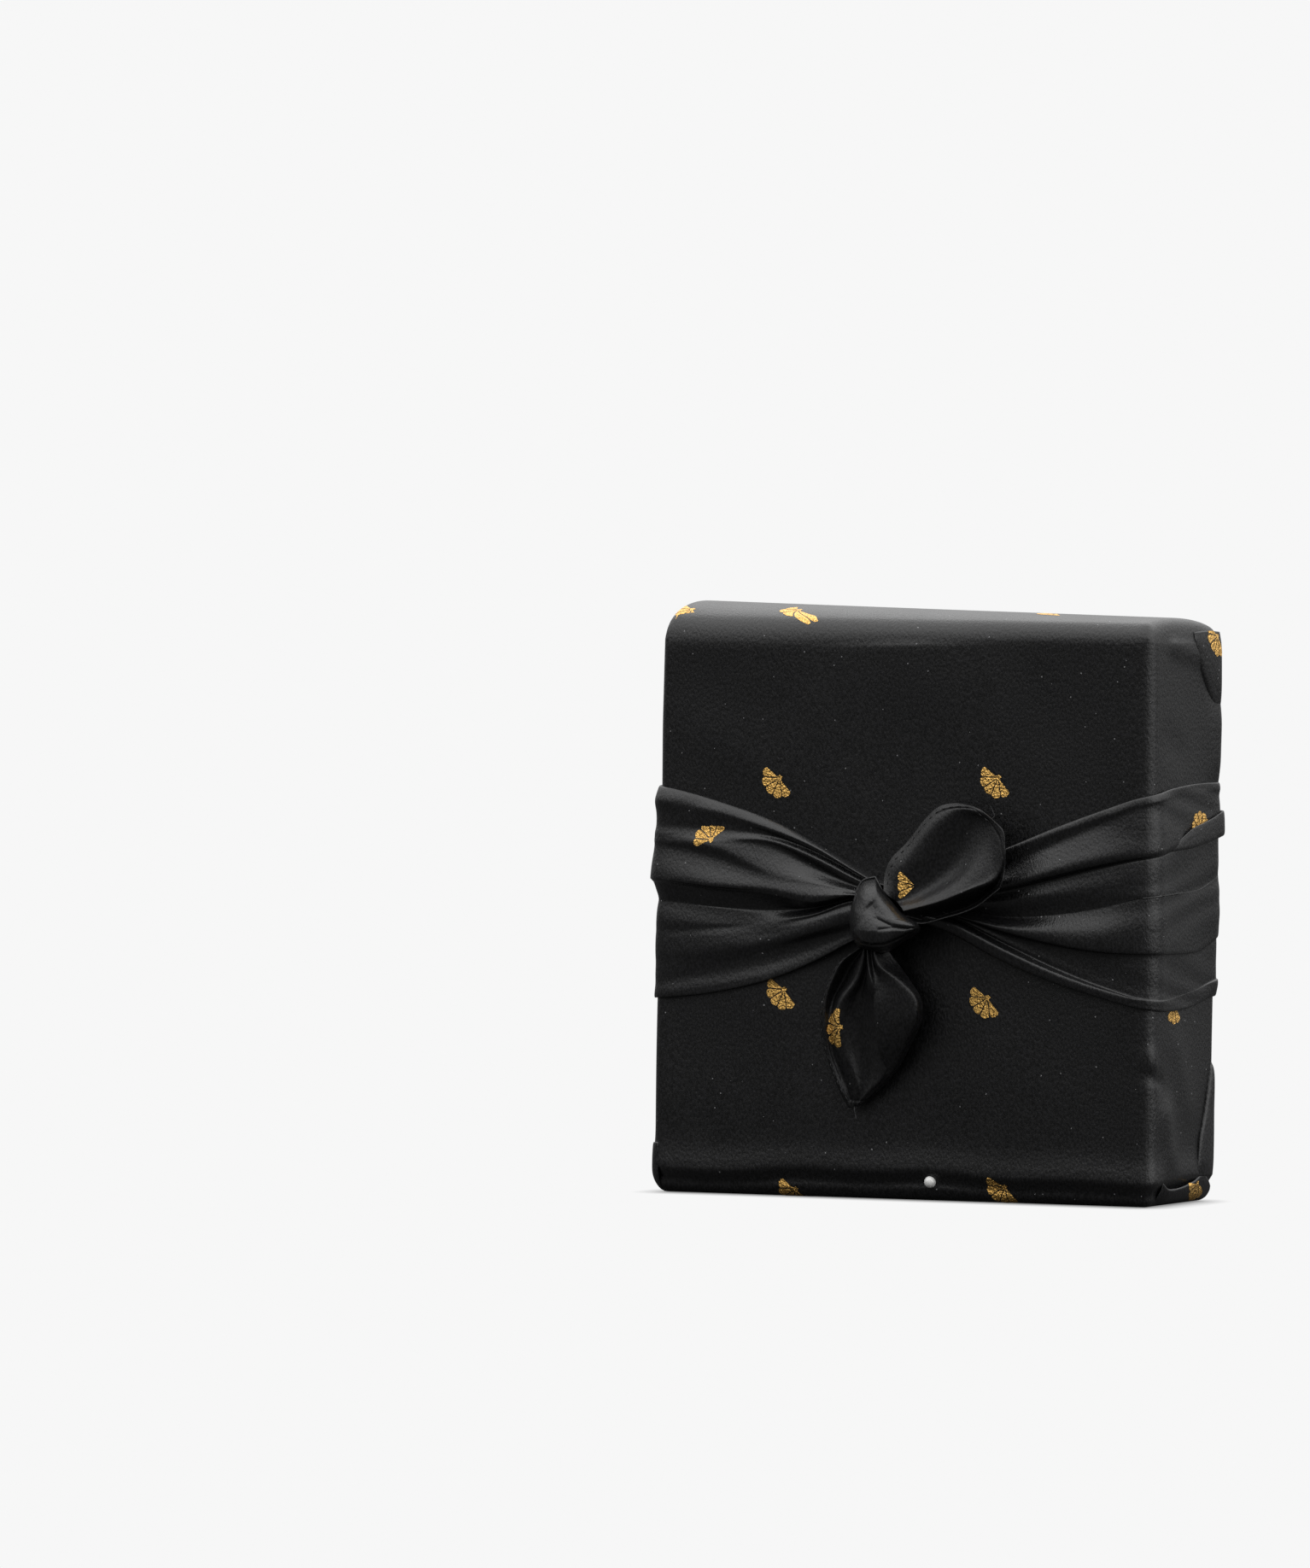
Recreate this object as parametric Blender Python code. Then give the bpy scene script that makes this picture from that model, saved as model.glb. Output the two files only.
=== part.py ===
"""A square gift parcel in a furoshiki: one satin cloth folded round a flat box and tied in front.

Metres, +Z up. The origin is the middle of the flat base. The parcel faces -Y, with its knot there.
The cloth is one solid: the filled parcel, its two tied corners, the knot and the two free tails.
Tables are in millimetres, as (x, y, z) or under the names above them. Their heights, and those of the sizes
named below, are taken from a level DATUM above the base, where the front's cloth turns under.
"""

import math

import bmesh
import bpy
import numpy as np

MM = 0.001

DATUM = 2.4 * MM

# Driving sizes of the box that the cloth is drawn over. Its height is taken from the datum.
BOX_WIDTH = 160 * MM
BOX_DEPTH = 45 * MM
BOX_HEIGHT = 160 * MM
UPRIGHT_ROUND = 4 * MM  # radius of the four upright edges
FOOT_ROLL = 7 * MM  # radius of the roll along the base
BASE_SHARE = 0.5  # share of the roll's radius by which the flat base is drawn in

# How the soft parcel has settled: sideways moves of its left end and of its back right edge.
LEFT_MOVE = {"base": -0.8 * MM, "top": 2.0 * MM}
BACK_MOVE = {"base": -1.6 * MM, "top": 1.3 * MM}

# The top is a soft crown, higher at the left end.
CROWN_LEFT = 9.8 * MM
CROWN_RIGHT = 3.0 * MM
CROWN_END_POWER = 14  # how late the crown drops towards its two ends

STRAND_SINK = {-1: 1.6 * MM, 1: 2.3 * MM}  # depth of each tied corner's underside inside the parcel
STRAND_POINTS = 19  # points across a tied corner
STRAND_RIM = 0.5  # share of its lift that a tied corner keeps at its two edges
CLOTH_THICK = 1.5 * MM  # thickness of the free tails
KNOT_X = 3 * MM  # where both tied corners start
KNOT_Y = -29 * MM  # plane of the knot's widest outline
KNOT_RISE = 10 * MM  # of the knot in front of that plane
KNOT_ROOT_Y = -21.5 * MM  # plane of the knot's back, inside the parcel

# How finely the parcel's plan is divided: steps along each side and round each upright edge.
PLAN_STEPS = {"front": 16, "flank": 6, "corner": 4}

CLOTH_COLOUR = (0.012, 0.012, 0.013, 1.0)
PIN_COLOUR = (0.72, 0.71, 0.69, 1.0)

# A tied corner runs from the knot round one flank, over the back, and widens to the far flank.
# run: distance along the parcel from the knot; low, high: its edges; lift: height of its middle
STRAND_COLUMNS = ("run", "low", "high", "lift")
LEFT_STRAND = (
    (4, 74.5, 89.0, 9.5),
    (13, 73.5, 91.5, 8.0),
    (28, 65.8, 99.6, 5.0),
    (53, 58.1, 108.3, 3.2),
    (76, 55.0, 115.0, 2.2),
    (84, 54.5, 116.0, 1.8),
    (126, 54.5, 116.5, 1.8),
    (134, 54.5, 116.0, 2.6),
    (170, 60.0, 111.0, 3.4),
    (195, 63.5, 106.5, 4.2),
    (205, 63.0, 107.0, 3.7),
    (215, 57.0, 113.0, 2.0),
    (228, 47.0, 122.0, 1.3),
    (250, 29.0, 138.0, 1.1),
    (278, 9.0, 155.0, 0.6),
)
RIGHT_STRAND = (
    (4, 75.5, 87.0, 9.5),
    (17, 72.6, 91.5, 7.5),
    (33, 65.2, 97.7, 5.2),
    (52, 59.0, 105.0, 3.6),
    (69, 54.9, 111.5, 2.4),
    (77, 54.0, 114.0, 2.0),
    (90, 53.3, 116.3, 1.8),
    (120, 56.0, 117.4, 1.8),
    (128, 56.0, 117.0, 2.6),
    (165, 61.0, 112.0, 3.4),
    (189, 63.0, 107.5, 4.2),
    (199, 62.5, 108.0, 3.7),
    (209, 56.0, 114.0, 2.0),
    (222, 46.0, 123.0, 1.3),
    (245, 27.0, 140.0, 1.1),
    (272, 9.0, 155.0, 0.6),
)

# The long folds of a tied corner, at three places: the knot, the box's front edge and the back.
# across: place between the low edge (0) and the high edge (1); rise: height there
# above, below: width of its upper and lower slope, as shares of the strand's width
FOLD_COLUMNS = (
    "across_knot", "across_edge", "across_back", "rise_knot", "rise_edge", "rise_back", "above", "below",
)
FOLD_RUNS = (4, 80, 270)
LEFT_FOLDS = (
    (0.88, 0.955, 0.94, 2.2, 1.2, 0.3, 0.05, 0.06),
    (0.78, 0.815, 0.80, 1.6, 1.0, 0.4, 0.03, 0.12),
    (0.62, 0.600, 0.58, 1.8, 1.6, 0.5, 0.13, 0.10),
    (0.50, 0.370, 0.36, 2.0, 1.2, 0.3, 0.05, 0.07),
    (0.28, 0.230, 0.24, 1.8, 1.0, 0.4, 0.07, 0.06),
    (0.10, 0.080, 0.09, 1.6, 1.2, 0.3, 0.07, 0.05),
)
RIGHT_FOLDS = (
    (0.90, 0.960, 0.95, 1.8, 1.0, 0.3, 0.04, 0.05),
    (0.66, 0.780, 0.78, 3.0, 2.0, 0.5, 0.14, 0.03),
    (0.38, 0.420, 0.40, 2.2, 1.0, 0.4, 0.08, 0.10),
    (0.30, 0.290, 0.27, 1.4, 1.2, 0.4, 0.08, 0.03),
    (0.12, 0.070, 0.08, 2.6, 1.2, 0.3, 0.07, 0.04),
)

# Where the tied corners cross on the back, one turns over the other in a slanted roll.
ROLL_COLUMNS = ("x", "y", "z", "half_width", "half_thick")
ROLL_SIDES = 14
CROSSING_ROLL = (
    (9.0, 23.6, 112.0, 2.0, 1.2),
    (7.0, 25.6, 106.0, 5.0, 2.0),
    (3.0, 26.8, 96.0, 7.5, 2.6),
    (-1.0, 27.2, 85.0, 8.0, 2.8),
    (-4.5, 26.8, 74.0, 7.0, 2.6),
    (-8.0, 25.6, 64.0, 5.0, 2.0),
    (-10.0, 23.6, 58.0, 2.0, 1.2),
)

# The knot's outline in the plane KNOT_Y, as (x, z), and its creases from one point to another.
KNOT_OUTLINE = (
    (-2.3, 90.1), (-7.6, 86.6), (-9.9, 81.5), (-10.6, 76.1), (-8.3, 71.3), (-2.3, 69.2),
    (4.6, 69.4), (10.1, 72.6), (12.5, 76.5), (11.0, 80.5), (6.5, 84.5), (2.0, 88.5),
)
KNOT_CENTRE = (0.5, 78.5)
KNOT_RINGS = ((0.97, 0.25), (0.88, 0.55), (0.72, 0.80), (0.50, 0.94), (0.26, 1.0))  # size, share of rise
CREASE_COLUMNS = ("x_start", "z_start", "x_end", "z_end", "depth", "width")
KNOT_CREASES = (
    (-3.0, 88.0, 8.0, 78.0, 2.2, 1.3),
    (-7.0, 74.5, 7.5, 73.2, 1.4, 1.0),
    (-1.0, 80.5, 9.0, 75.5, 1.0, 1.0),
)

# The two free tails. Each row crosses the tail, from the root to the tip, at the points named above it.
# upper tail: free edge, hollow, front fold, valley under it, lower hem
UPPER_TAIL = (
    ((-0.5, -33.0, 88.0), (0.9, -32.0, 85.0), (4.7, -35.0, 82.5),
     (5.3, -33.5, 80.5), (6.3, -33.5, 78.0)),
    ((-0.1, -31.0, 92.5), (2.2, -29.0, 88.5), (9.3, -37.0, 82.8),
     (9.1, -34.0, 80.6), (11.7, -35.0, 76.5)),
    ((2.6, -29.5, 97.3), (5.9, -27.5, 92.0), (15.5, -38.5, 84.4),
     (14.9, -34.0, 81.2), (17.7, -36.0, 77.5)),
    ((6.7, -29.0, 102.5), (11.6, -27.0, 96.0), (21.5, -39.0, 86.4),
     (21.6, -34.0, 83.0), (24.8, -37.0, 80.0)),
    ((12.0, -29.0, 107.9), (18.9, -27.5, 99.0), (28.4, -39.0, 88.5),
     (28.1, -35.0, 86.0), (30.6, -37.5, 82.0)),
    ((20.8, -30.0, 111.3), (26.2, -29.0, 101.0), (34.6, -38.5, 91.0),
     (33.9, -35.5, 88.0), (36.4, -38.0, 84.2)),
    ((31.2, -31.5, 109.7), (33.9, -31.0, 102.5), (39.1, -37.5, 94.5),
     (39.0, -36.5, 91.0), (39.9, -38.0, 86.8)),
    ((39.7, -33.0, 104.6), (39.4, -32.5, 101.0), (42.3, -36.5, 96.0),
     (42.3, -37.0, 91.5), (41.5, -38.0, 87.8)),
)
# lower tail: left hem, valley beside it, middle fold, right edge
LOWER_TAIL = (
    ((-5.2, -33.0, 72.0), (-3.8, -32.0, 72.0), (-0.6, -34.0, 72.0), (2.2, -32.0, 71.0)),
    ((-10.8, -32.0, 68.5), (-7.9, -30.0, 67.0), (-2.5, -34.5, 66.0), (4.2, -31.0, 66.3)),
    ((-16.7, -30.5, 62.9), (-12.1, -28.0, 61.0), (-2.3, -34.0, 59.5), (7.6, -30.0, 60.8)),
    ((-21.0, -29.0, 54.5), (-14.9, -26.5, 53.5), (-1.8, -32.5, 53.0), (10.7, -28.0, 53.3)),
    ((-22.0, -28.0, 46.5), (-15.2, -26.0, 46.0), (-1.3, -31.0, 45.5), (8.7, -27.0, 45.5)),
    ((-20.0, -27.0, 38.5), (-13.8, -25.8, 38.0), (-1.9, -29.0, 38.0), (3.8, -26.5, 38.0)),
    ((-17.7, -26.3, 32.5), (-13.5, -25.5, 31.5), (-5.8, -27.5, 31.5), (-1.9, -26.0, 31.7)),
    ((-15.3, -25.8, 26.0), (-14.5, -25.5, 25.2), (-12.8, -25.8, 25.0), (-11.4, -25.5, 25.7)),
)
TAIL_STEPS = {"along": 16, "across": 13}

# Cloth folded up over a flank's foot, and a top corner folded down at the back of the right flank.
FOLD_SINK = 1.6 * MM
RIGHT_CUFF = {"side": 1, "proud": 1.3 * MM, "front_height": 5.5 * MM, "back_height": 8.5 * MM}
LEFT_CUFF = {"side": -1, "proud": 1.0 * MM, "front_height": 10.0 * MM, "back_height": 7.0 * MM}
EAR = {"proud": 1.6 * MM, "height": 22 * MM, "width": 13 * MM, "foot_width": 3 * MM}

# The bead-headed pin that holds the cloth under the front, in a dimple that it presses in the roll.
PIN_X = 10 * MM
PIN_Y = -22.0 * MM
PIN_Z = 3 * MM
PIN_HEAD_RADIUS = 1.75 * MM
PIN_SHANK_RADIUS = 0.3 * MM
PIN_SHANK_LENGTH = 16 * MM
PIN_CLEARANCE = 0.35 * MM
PIN_SIDES = 16


def smooth(at, stops, values):
    """Values read at any place from a smooth curve through the stops."""
    at = np.clip(np.asarray(at, float), stops[0], stops[-1])
    slope = np.gradient(values, stops, axis=0)
    k = np.clip(np.searchsorted(stops, at, side="right") - 1, 0, len(stops) - 2)
    gap = (stops[k + 1] - stops[k]).reshape(k.shape + (1,) * (values.ndim - 1))
    t = (at - stops[k]).reshape(gap.shape) / gap
    return (
        (2 * t**3 - 3 * t**2 + 1) * values[k]
        + (t**3 - 2 * t**2 + t) * gap * slope[k]
        + (3 * t**2 - 2 * t**3) * values[k + 1]
        + (t**3 - t**2) * gap * slope[k + 1]
    )


def settled(points):
    """Points moved sideways as the soft parcel has settled: its left end and its back right edge."""
    moved = np.array(points, float)
    x, y, z = moved[..., 0], moved[..., 1], moved[..., 2]
    up = np.clip(z / BOX_HEIGHT, 0, 1.1)
    left = np.clip(-x / (BOX_WIDTH / 2), 0, 1) ** 2
    back_right = np.clip(x / (BOX_WIDTH / 2), 0, 1) ** 2 * np.clip((y + BOX_DEPTH / 2) / BOX_DEPTH, 0, 1)
    move = left * (LEFT_MOVE["base"] + (LEFT_MOVE["top"] - LEFT_MOVE["base"]) * up)
    moved[..., 0] = x + move + back_right * (BACK_MOVE["base"] + (BACK_MOVE["top"] - BACK_MOVE["base"]) * up)
    return moved


def new_object(name, bm, colour=CLOTH_COLOUR, roughness=0.45):
    """The bmesh as an object with its own finish, raised from the datum's level to its place."""
    bmesh.ops.translate(bm, vec=(0.0, 0.0, DATUM), verts=bm.verts)
    bmesh.ops.recalc_face_normals(bm, faces=bm.faces)
    mesh = bpy.data.meshes.new(name)
    bm.to_mesh(mesh)
    bm.free()
    mesh.shade_smooth()
    mesh.set_sharp_from_angle(angle=math.radians(40))
    material = bpy.data.materials.new(name)
    material.use_nodes = True
    finish = material.node_tree.nodes["Principled BSDF"]
    finish.inputs["Base Color"].default_value = colour
    finish.inputs["Roughness"].default_value = roughness
    finish.inputs["Metallic"].default_value = 0.0
    mesh.materials.append(material)
    obj = bpy.data.objects.new(name, mesh)
    bpy.context.scene.collection.objects.link(obj)
    return obj


def loft(name, loops, **finish):
    """A closed skin through loops of equal count, with its two ends filled."""
    bm = bmesh.new()
    rows = [[bm.verts.new(point) for point in loop] for loop in loops]
    count = len(rows[0])
    for low, high in zip(rows, rows[1:]):
        for k in range(count):
            bm.faces.new((low[k], low[(k + 1) % count], high[(k + 1) % count], high[k]))
    bm.faces.new(list(reversed(rows[0])))
    bm.faces.new(rows[-1])
    bmesh.ops.triangulate(bm, faces=[f for f in bm.faces if len(f.verts) > 4])
    return new_object(name, bm, **finish)


def combine(target, other, operation, solver="EXACT"):
    """A Boolean of the target with a helper shape, which itself isn't rendered."""
    other.hide_render = True
    other.display_type = "WIRE"
    modifier = target.modifiers.new(other.name, "BOOLEAN")
    modifier.object = other
    modifier.operation = operation
    modifier.solver = solver


def crown(x, y):
    """Height of the soft top above the box: nothing at its rim, most along its middle."""
    along = np.clip((x + BOX_WIDTH / 2) / BOX_WIDTH, 0, 1)
    rise = CROWN_LEFT + (CROWN_RIGHT - CROWN_LEFT) * along
    end = 1 - np.clip(np.abs(x) / (BOX_WIDTH / 2), 0, 1) ** CROWN_END_POWER
    return rise * end * (1 - np.clip(np.abs(y) / (BOX_DEPTH / 2), 0, 1) ** 2)


def plan(inset):
    """The box's plan as a rounded rectangle, inset, counter-clockwise seen from above."""
    half_x, half_y = BOX_WIDTH / 2 - inset, BOX_DEPTH / 2 - inset
    radius = max(UPRIGHT_ROUND - 0.6 * inset, 0.1 * UPRIGHT_ROUND)
    points = []
    for turn, side in ((-90, "front"), (0, "flank"), (90, "front"), (180, "flank")):
        a = math.radians(turn)
        out = np.array((math.cos(a), math.sin(a)))
        run = np.array((-out[1], out[0]))
        reach, length = (half_y, half_x) if side == "front" else (half_x, half_y)
        straight = length - radius
        points += [out * reach + run * straight * t for t in np.linspace(-1, 1, PLAN_STEPS[side] + 1)]
        centre = out * (reach - radius) + run * straight
        for share in np.arange(1, PLAN_STEPS["corner"]) / PLAN_STEPS["corner"]:
            b = a + math.pi / 2 * share
            points.append(centre + radius * np.array((math.cos(b), math.sin(b))))
    return np.array(points)


def make_parcel():
    """The filled parcel: a flat base, a roll above it, four walls and the soft crown."""
    sections = []
    for angle in np.radians((90, 66, 44, 24, 8)):
        height = FOOT_ROLL * (1 - math.sin(angle)) - DATUM
        sections.append((height, BASE_SHARE * FOOT_ROLL * (1 - math.cos(angle))))
    sections += [(BOX_HEIGHT * share, 0.0) for share in (0.08, 0.2, 0.34, 0.5, 0.66, 0.82, 0.93, 0.99)]
    sections += [(BOX_HEIGHT, inset * MM) for inset in (0.5, 2.2, 5.5, 10.0, 15.0, 19.5)]
    loops = []
    for height, inset in sections:
        outline = plan(inset)
        z = np.full(len(outline), height)
        if height >= BOX_HEIGHT:
            z = z + crown(outline[:, 0], outline[:, 1])
        loops.append(settled(np.column_stack((outline, z))))
    return loft("furoshiki_cloth", loops)


def along_parcel(run, side):
    """Plan point and outward direction at a distance from the knot; side is -1 for left, 1 for right."""
    half_x, half_y, r = BOX_WIDTH / 2, BOX_DEPTH / 2, UPRIGHT_ROUND
    bend = r * math.pi / 2
    front = half_x - r - side * KNOT_X
    flank = BOX_DEPTH - 2 * r
    if run <= front:
        return (side * run + KNOT_X, -half_y), (0.0, -1.0)
    if run <= front + bend:
        a = (run - front) / r
        out = (side * math.sin(a), -math.cos(a))
        return (side * (half_x - r) + r * out[0], r - half_y + r * out[1]), out
    if run <= front + bend + flank:
        return (side * half_x, r - half_y + run - front - bend), (side * 1.0, 0.0)
    past = run - front - bend - flank
    if past <= bend:
        a = past / r
        out = (side * math.cos(a), math.sin(a))
        return (side * (half_x - r) + r * out[0], half_y - r + r * out[1]), out
    return (side * (half_x - r - past + bend), half_y), (0.0, 1.0)


def stations(side, start, end):
    """Places along a tied corner: even on the flats, close together round the box's upright edges."""
    bend = UPRIGHT_ROUND * math.pi / 2
    first = BOX_WIDTH / 2 - UPRIGHT_ROUND - side * KNOT_X
    second = first + bend + BOX_DEPTH - 2 * UPRIGHT_ROUND
    runs = list(np.linspace(start, first, 11))
    runs += list(first + bend * np.array((0.33, 0.67)))
    runs += list(np.linspace(first + bend, second, 6))
    runs += list(second + bend * np.array((0.33, 0.67)))
    return runs + list(np.linspace(second + bend, end, 15))


def strand_height(run, across, lift, folds):
    """Height of a tied corner above the parcel: its lift, thinner at both edges, and its long folds."""
    rim = np.clip(np.minimum(across, 1 - across) / 0.05, 0, 1)
    height = lift * (STRAND_RIM + (1 - STRAND_RIM) * rim**0.6)
    runs = np.array(FOLD_RUNS) * MM
    for row in folds:
        fold = dict(zip(FOLD_COLUMNS, row))
        place = smooth(run, runs, np.array([fold["across_knot"], fold["across_edge"], fold["across_back"]]))
        rise = smooth(run, runs, np.array([fold["rise_knot"], fold["rise_edge"], fold["rise_back"]])) * MM
        offset = across - place
        width = np.where(offset > 0, fold["above"], fold["below"])
        height = height + rise * np.exp(-((offset / width) ** 2))
    return height


def make_strand(name, side, rows, folds):
    """A tied corner, as a strip of long folds laid on the parcel; side is -1 for left, 1 for right."""
    table = np.array(rows) * MM
    across = np.linspace(0, 1, STRAND_POINTS)
    loops = []
    for run in stations(side, table[0, 0], table[-1, 0]):
        (x, y), (out_x, out_y) = along_parcel(run, side)
        low, high, lift = smooth(np.array([run]), table[:, 0], table[:, 1:])[0]
        height = strand_height(run, across, lift, folds)
        outer = np.column_stack((x + out_x * height, y + out_y * height, low + (high - low) * across))
        inner = [
            (x - out_x * STRAND_SINK[side], y - out_y * STRAND_SINK[side], z)
            for z in (high - 0.4 * MM, (low + high) / 2, low + 0.4 * MM)
        ]
        loops.append(settled(np.vstack((outer, inner))))
    return loft(name, loops)


def make_crossing():
    """The slanted roll over the place where the tied corners cross on the back."""
    table = np.array(CROSSING_ROLL) * MM
    turns = np.linspace(0, 2 * math.pi, ROLL_SIDES, endpoint=False)
    loops = []
    for x, y, z, half_width, half_thick in table:
        level = np.full(ROLL_SIDES, z)
        loops.append(np.column_stack((x + half_width * np.cos(turns), y + half_thick * np.sin(turns), level)))
    return loft("crossing_roll", loops)


def crease_depth(x, z):
    """How deep the knot's creases are pressed at a place in the front view."""
    depth = np.zeros_like(x)
    for row in KNOT_CREASES:
        crease = dict(zip(CREASE_COLUMNS, row))
        start = np.array((crease["x_start"], crease["z_start"])) * MM
        line = np.array((crease["x_end"], crease["z_end"])) * MM - start
        share = ((x - start[0]) * line[0] + (z - start[1]) * line[1]) / (line @ line)
        off = np.hypot(x - start[0] - share * line[0], z - start[1] - share * line[1])
        fade = np.clip(4 * share, 0, 1) * np.clip(4 * (1 - share), 0, 1)
        depth = depth + crease["depth"] * MM * fade * np.exp(-((off / (crease["width"] * MM)) ** 2))
    return depth


def make_knot():
    """The pulled knot: a creased mound over its outline, with its back inside the parcel."""
    outline = np.array(KNOT_OUTLINE + KNOT_OUTLINE[:1]) * MM
    centre = np.array(KNOT_CENTRE) * MM
    stops = np.arange(len(outline), dtype=float)
    rim = smooth(np.linspace(0, stops[-1], 33)[:-1], stops, outline)
    loops = [np.column_stack((rim[:, 0], np.full(32, y), rim[:, 1])) for y in (KNOT_ROOT_Y, KNOT_Y)]
    for size, share in KNOT_RINGS:
        ring = centre + (rim - centre) * size
        y = KNOT_Y - KNOT_RISE * share + crease_depth(ring[:, 0], ring[:, 1])
        loops.append(np.column_stack((ring[:, 0], y, ring[:, 1])))
    return loft("knot", loops)


def make_tail(name, rows):
    """A free tail: a smooth sheet through its rows, thickened towards the parcel."""
    table = np.array(rows) * MM
    along = np.linspace(0, len(rows) - 1, TAIL_STEPS["along"])
    across = np.linspace(0, len(rows[0]) - 1, TAIL_STEPS["across"])
    sheet = smooth(along, np.arange(len(rows), dtype=float), table)
    sheet = smooth(across, np.arange(len(rows[0]), dtype=float), sheet.transpose(1, 0, 2)).transpose(1, 0, 2)
    normal = np.cross(np.gradient(sheet, axis=0), np.gradient(sheet, axis=1))
    normal = normal / np.linalg.norm(normal, axis=2)[:, :, None]
    normal = normal * np.sign(np.sum(normal[:, :, 1]))
    behind = sheet + CLOTH_THICK * normal
    return loft(name, [np.vstack((front, back[::-1])) for front, back in zip(sheet, behind)])


def make_flank_fold(name, side, outline, proud):
    """Folded cloth standing proud of a flank, over an outline given as (y, z)."""
    return loft(
        name,
        [settled([(side * (BOX_WIDTH / 2 + out), y, z) for y, z in outline]) for out in (-FOLD_SINK, proud)],
    )


def make_cuff(name, cuff):
    """The base's cloth turned up over the foot of a flank."""
    front, back = UPRIGHT_ROUND - BOX_DEPTH / 2, BOX_DEPTH / 2 - 2 * MM
    foot = 0.4 * FOOT_ROLL - DATUM
    outline = ((front, foot), (back, foot), (back, cuff["back_height"]), (front, cuff["front_height"]))
    return make_flank_fold(name, cuff["side"], outline, cuff["proud"])


def make_ear():
    """The top corner's cloth folded down at the back of the right flank."""
    top, back = BOX_HEIGHT - 1.5 * MM, BOX_DEPTH / 2 - 2 * MM
    foot = top - EAR["height"]
    outline = ((back - EAR["width"], top), (back - EAR["foot_width"], foot), (back, foot), (back, top))
    return make_flank_fold("ear", 1, outline, EAR["proud"])


def make_pin_shape(name, clearance, **finish):
    """A ball on a straight shank that points to the back, grown by a clearance."""
    radius = PIN_HEAD_RADIUS + clearance
    shank = PIN_SHANK_RADIUS + clearance
    tip = PIN_Y + PIN_HEAD_RADIUS + PIN_SHANK_LENGTH + clearance
    turns = np.linspace(0, 2 * math.pi, PIN_SIDES, endpoint=False)
    last = math.degrees(math.asin(shank / radius))
    angles = np.radians(np.linspace(12, 180 - last, 10))
    sections = [(PIN_Y - radius * math.cos(a), radius * math.sin(a)) for a in angles]
    sections.append((tip, shank))
    loops = [
        np.column_stack((PIN_X + r * np.cos(turns), np.full(PIN_SIDES, y), PIN_Z + r * np.sin(turns)))
        for y, r in sections
    ]
    return loft(name, loops, **finish)


def main():
    for obj in list(bpy.data.objects):
        bpy.data.objects.remove(obj)
    cloth = make_parcel()
    for shape in (
        make_cuff("right_cuff", RIGHT_CUFF),
        make_cuff("left_cuff", LEFT_CUFF),
        make_ear(),
        make_strand("right_strand", 1, RIGHT_STRAND, RIGHT_FOLDS),
    ):
        combine(cloth, shape, "UNION")
    # These cross each other's folds at shallow angles, which the manifold solver joins cleanly.
    for shape in (
        make_strand("left_strand", -1, LEFT_STRAND, LEFT_FOLDS),
        make_crossing(),
        make_knot(),
        make_tail("upper_tail", UPPER_TAIL),
        make_tail("lower_tail", LOWER_TAIL),
    ):
        combine(cloth, shape, "UNION", solver="MANIFOLD")
    combine(cloth, make_pin_shape("pin_room", PIN_CLEARANCE), "DIFFERENCE")
    make_pin_shape("bead_pin", 0.0, colour=PIN_COLOUR, roughness=0.25)


main()
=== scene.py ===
# A flat gift box in a black satin furoshiki with small gold foil shells, tied in front.
# Lengths are millimetres until a mesh is made, in the frame's own axes: +X right, +Z up, knot towards -Y.
# Heights are taken from a level a little above the base, where the front's cloth turns under.
import math

import bmesh
import bpy
import numpy as np
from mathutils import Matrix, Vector


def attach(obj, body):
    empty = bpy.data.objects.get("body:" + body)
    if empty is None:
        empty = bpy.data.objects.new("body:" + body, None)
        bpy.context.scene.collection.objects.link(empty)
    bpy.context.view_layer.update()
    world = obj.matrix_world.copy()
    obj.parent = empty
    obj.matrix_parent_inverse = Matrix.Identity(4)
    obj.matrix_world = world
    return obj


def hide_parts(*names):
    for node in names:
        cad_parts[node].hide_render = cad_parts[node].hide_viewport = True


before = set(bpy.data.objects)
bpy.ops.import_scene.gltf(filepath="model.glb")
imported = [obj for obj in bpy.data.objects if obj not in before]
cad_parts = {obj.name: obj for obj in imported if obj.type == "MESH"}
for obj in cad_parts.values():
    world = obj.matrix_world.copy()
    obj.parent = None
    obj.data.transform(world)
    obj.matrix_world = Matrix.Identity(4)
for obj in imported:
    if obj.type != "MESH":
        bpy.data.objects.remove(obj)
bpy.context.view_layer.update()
print("frame loaded")

mm = 0.001  # one millimetre in the frame's metres
clothWall = 0.3  # thickness of every cloth sheet

# The box under the cloth. Its sides and its upright and foot rounds are the solid's. The crown is a little
# fuller than the solid's, and the left end stands a little further out.
parcel = {
    "width": 160, "depth": 45, "height": 160, "datum": 2.4,
    "uprightRound": 4, "footRound": 7, "footShare": 0.5, "topRound": 4,
    "crownLeft": 11.2, "crownRight": 3.9, "crownEnds": 130, "crownAcross": 2.2,
    "leftBase": -2.2, "leftTop": 1.5, "backBase": -1.6, "backTop": 1.3,  # how the soft parcel has settled
    "settleEnd": 1.1,  # share of the height above which it settles no further
}


def smoothCurve(at, stops, values):
    # Cubic pieces through the stops, where each stop has the slope of its neighbours.
    stops, values = np.asarray(stops, float), np.asarray(values, float)
    at = np.clip(np.asarray(at, float), stops[0], stops[-1])
    slope = np.gradient(values, stops, axis=0)
    k = np.clip(np.searchsorted(stops, at, side="right") - 1, 0, len(stops) - 2)
    shape = k.shape + (1,) * (values.ndim - 1)
    gap = (stops[k + 1] - stops[k]).reshape(shape)
    t = (at - stops[k]).reshape(shape) / gap
    return (
        (2 * t**3 - 3 * t**2 + 1) * values[k]
        + (t**3 - 2 * t**2 + t) * gap * slope[k]
        + (3 * t**2 - 2 * t**3) * values[k + 1]
        + (t**3 - t**2) * gap * slope[k + 1]
    )


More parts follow.
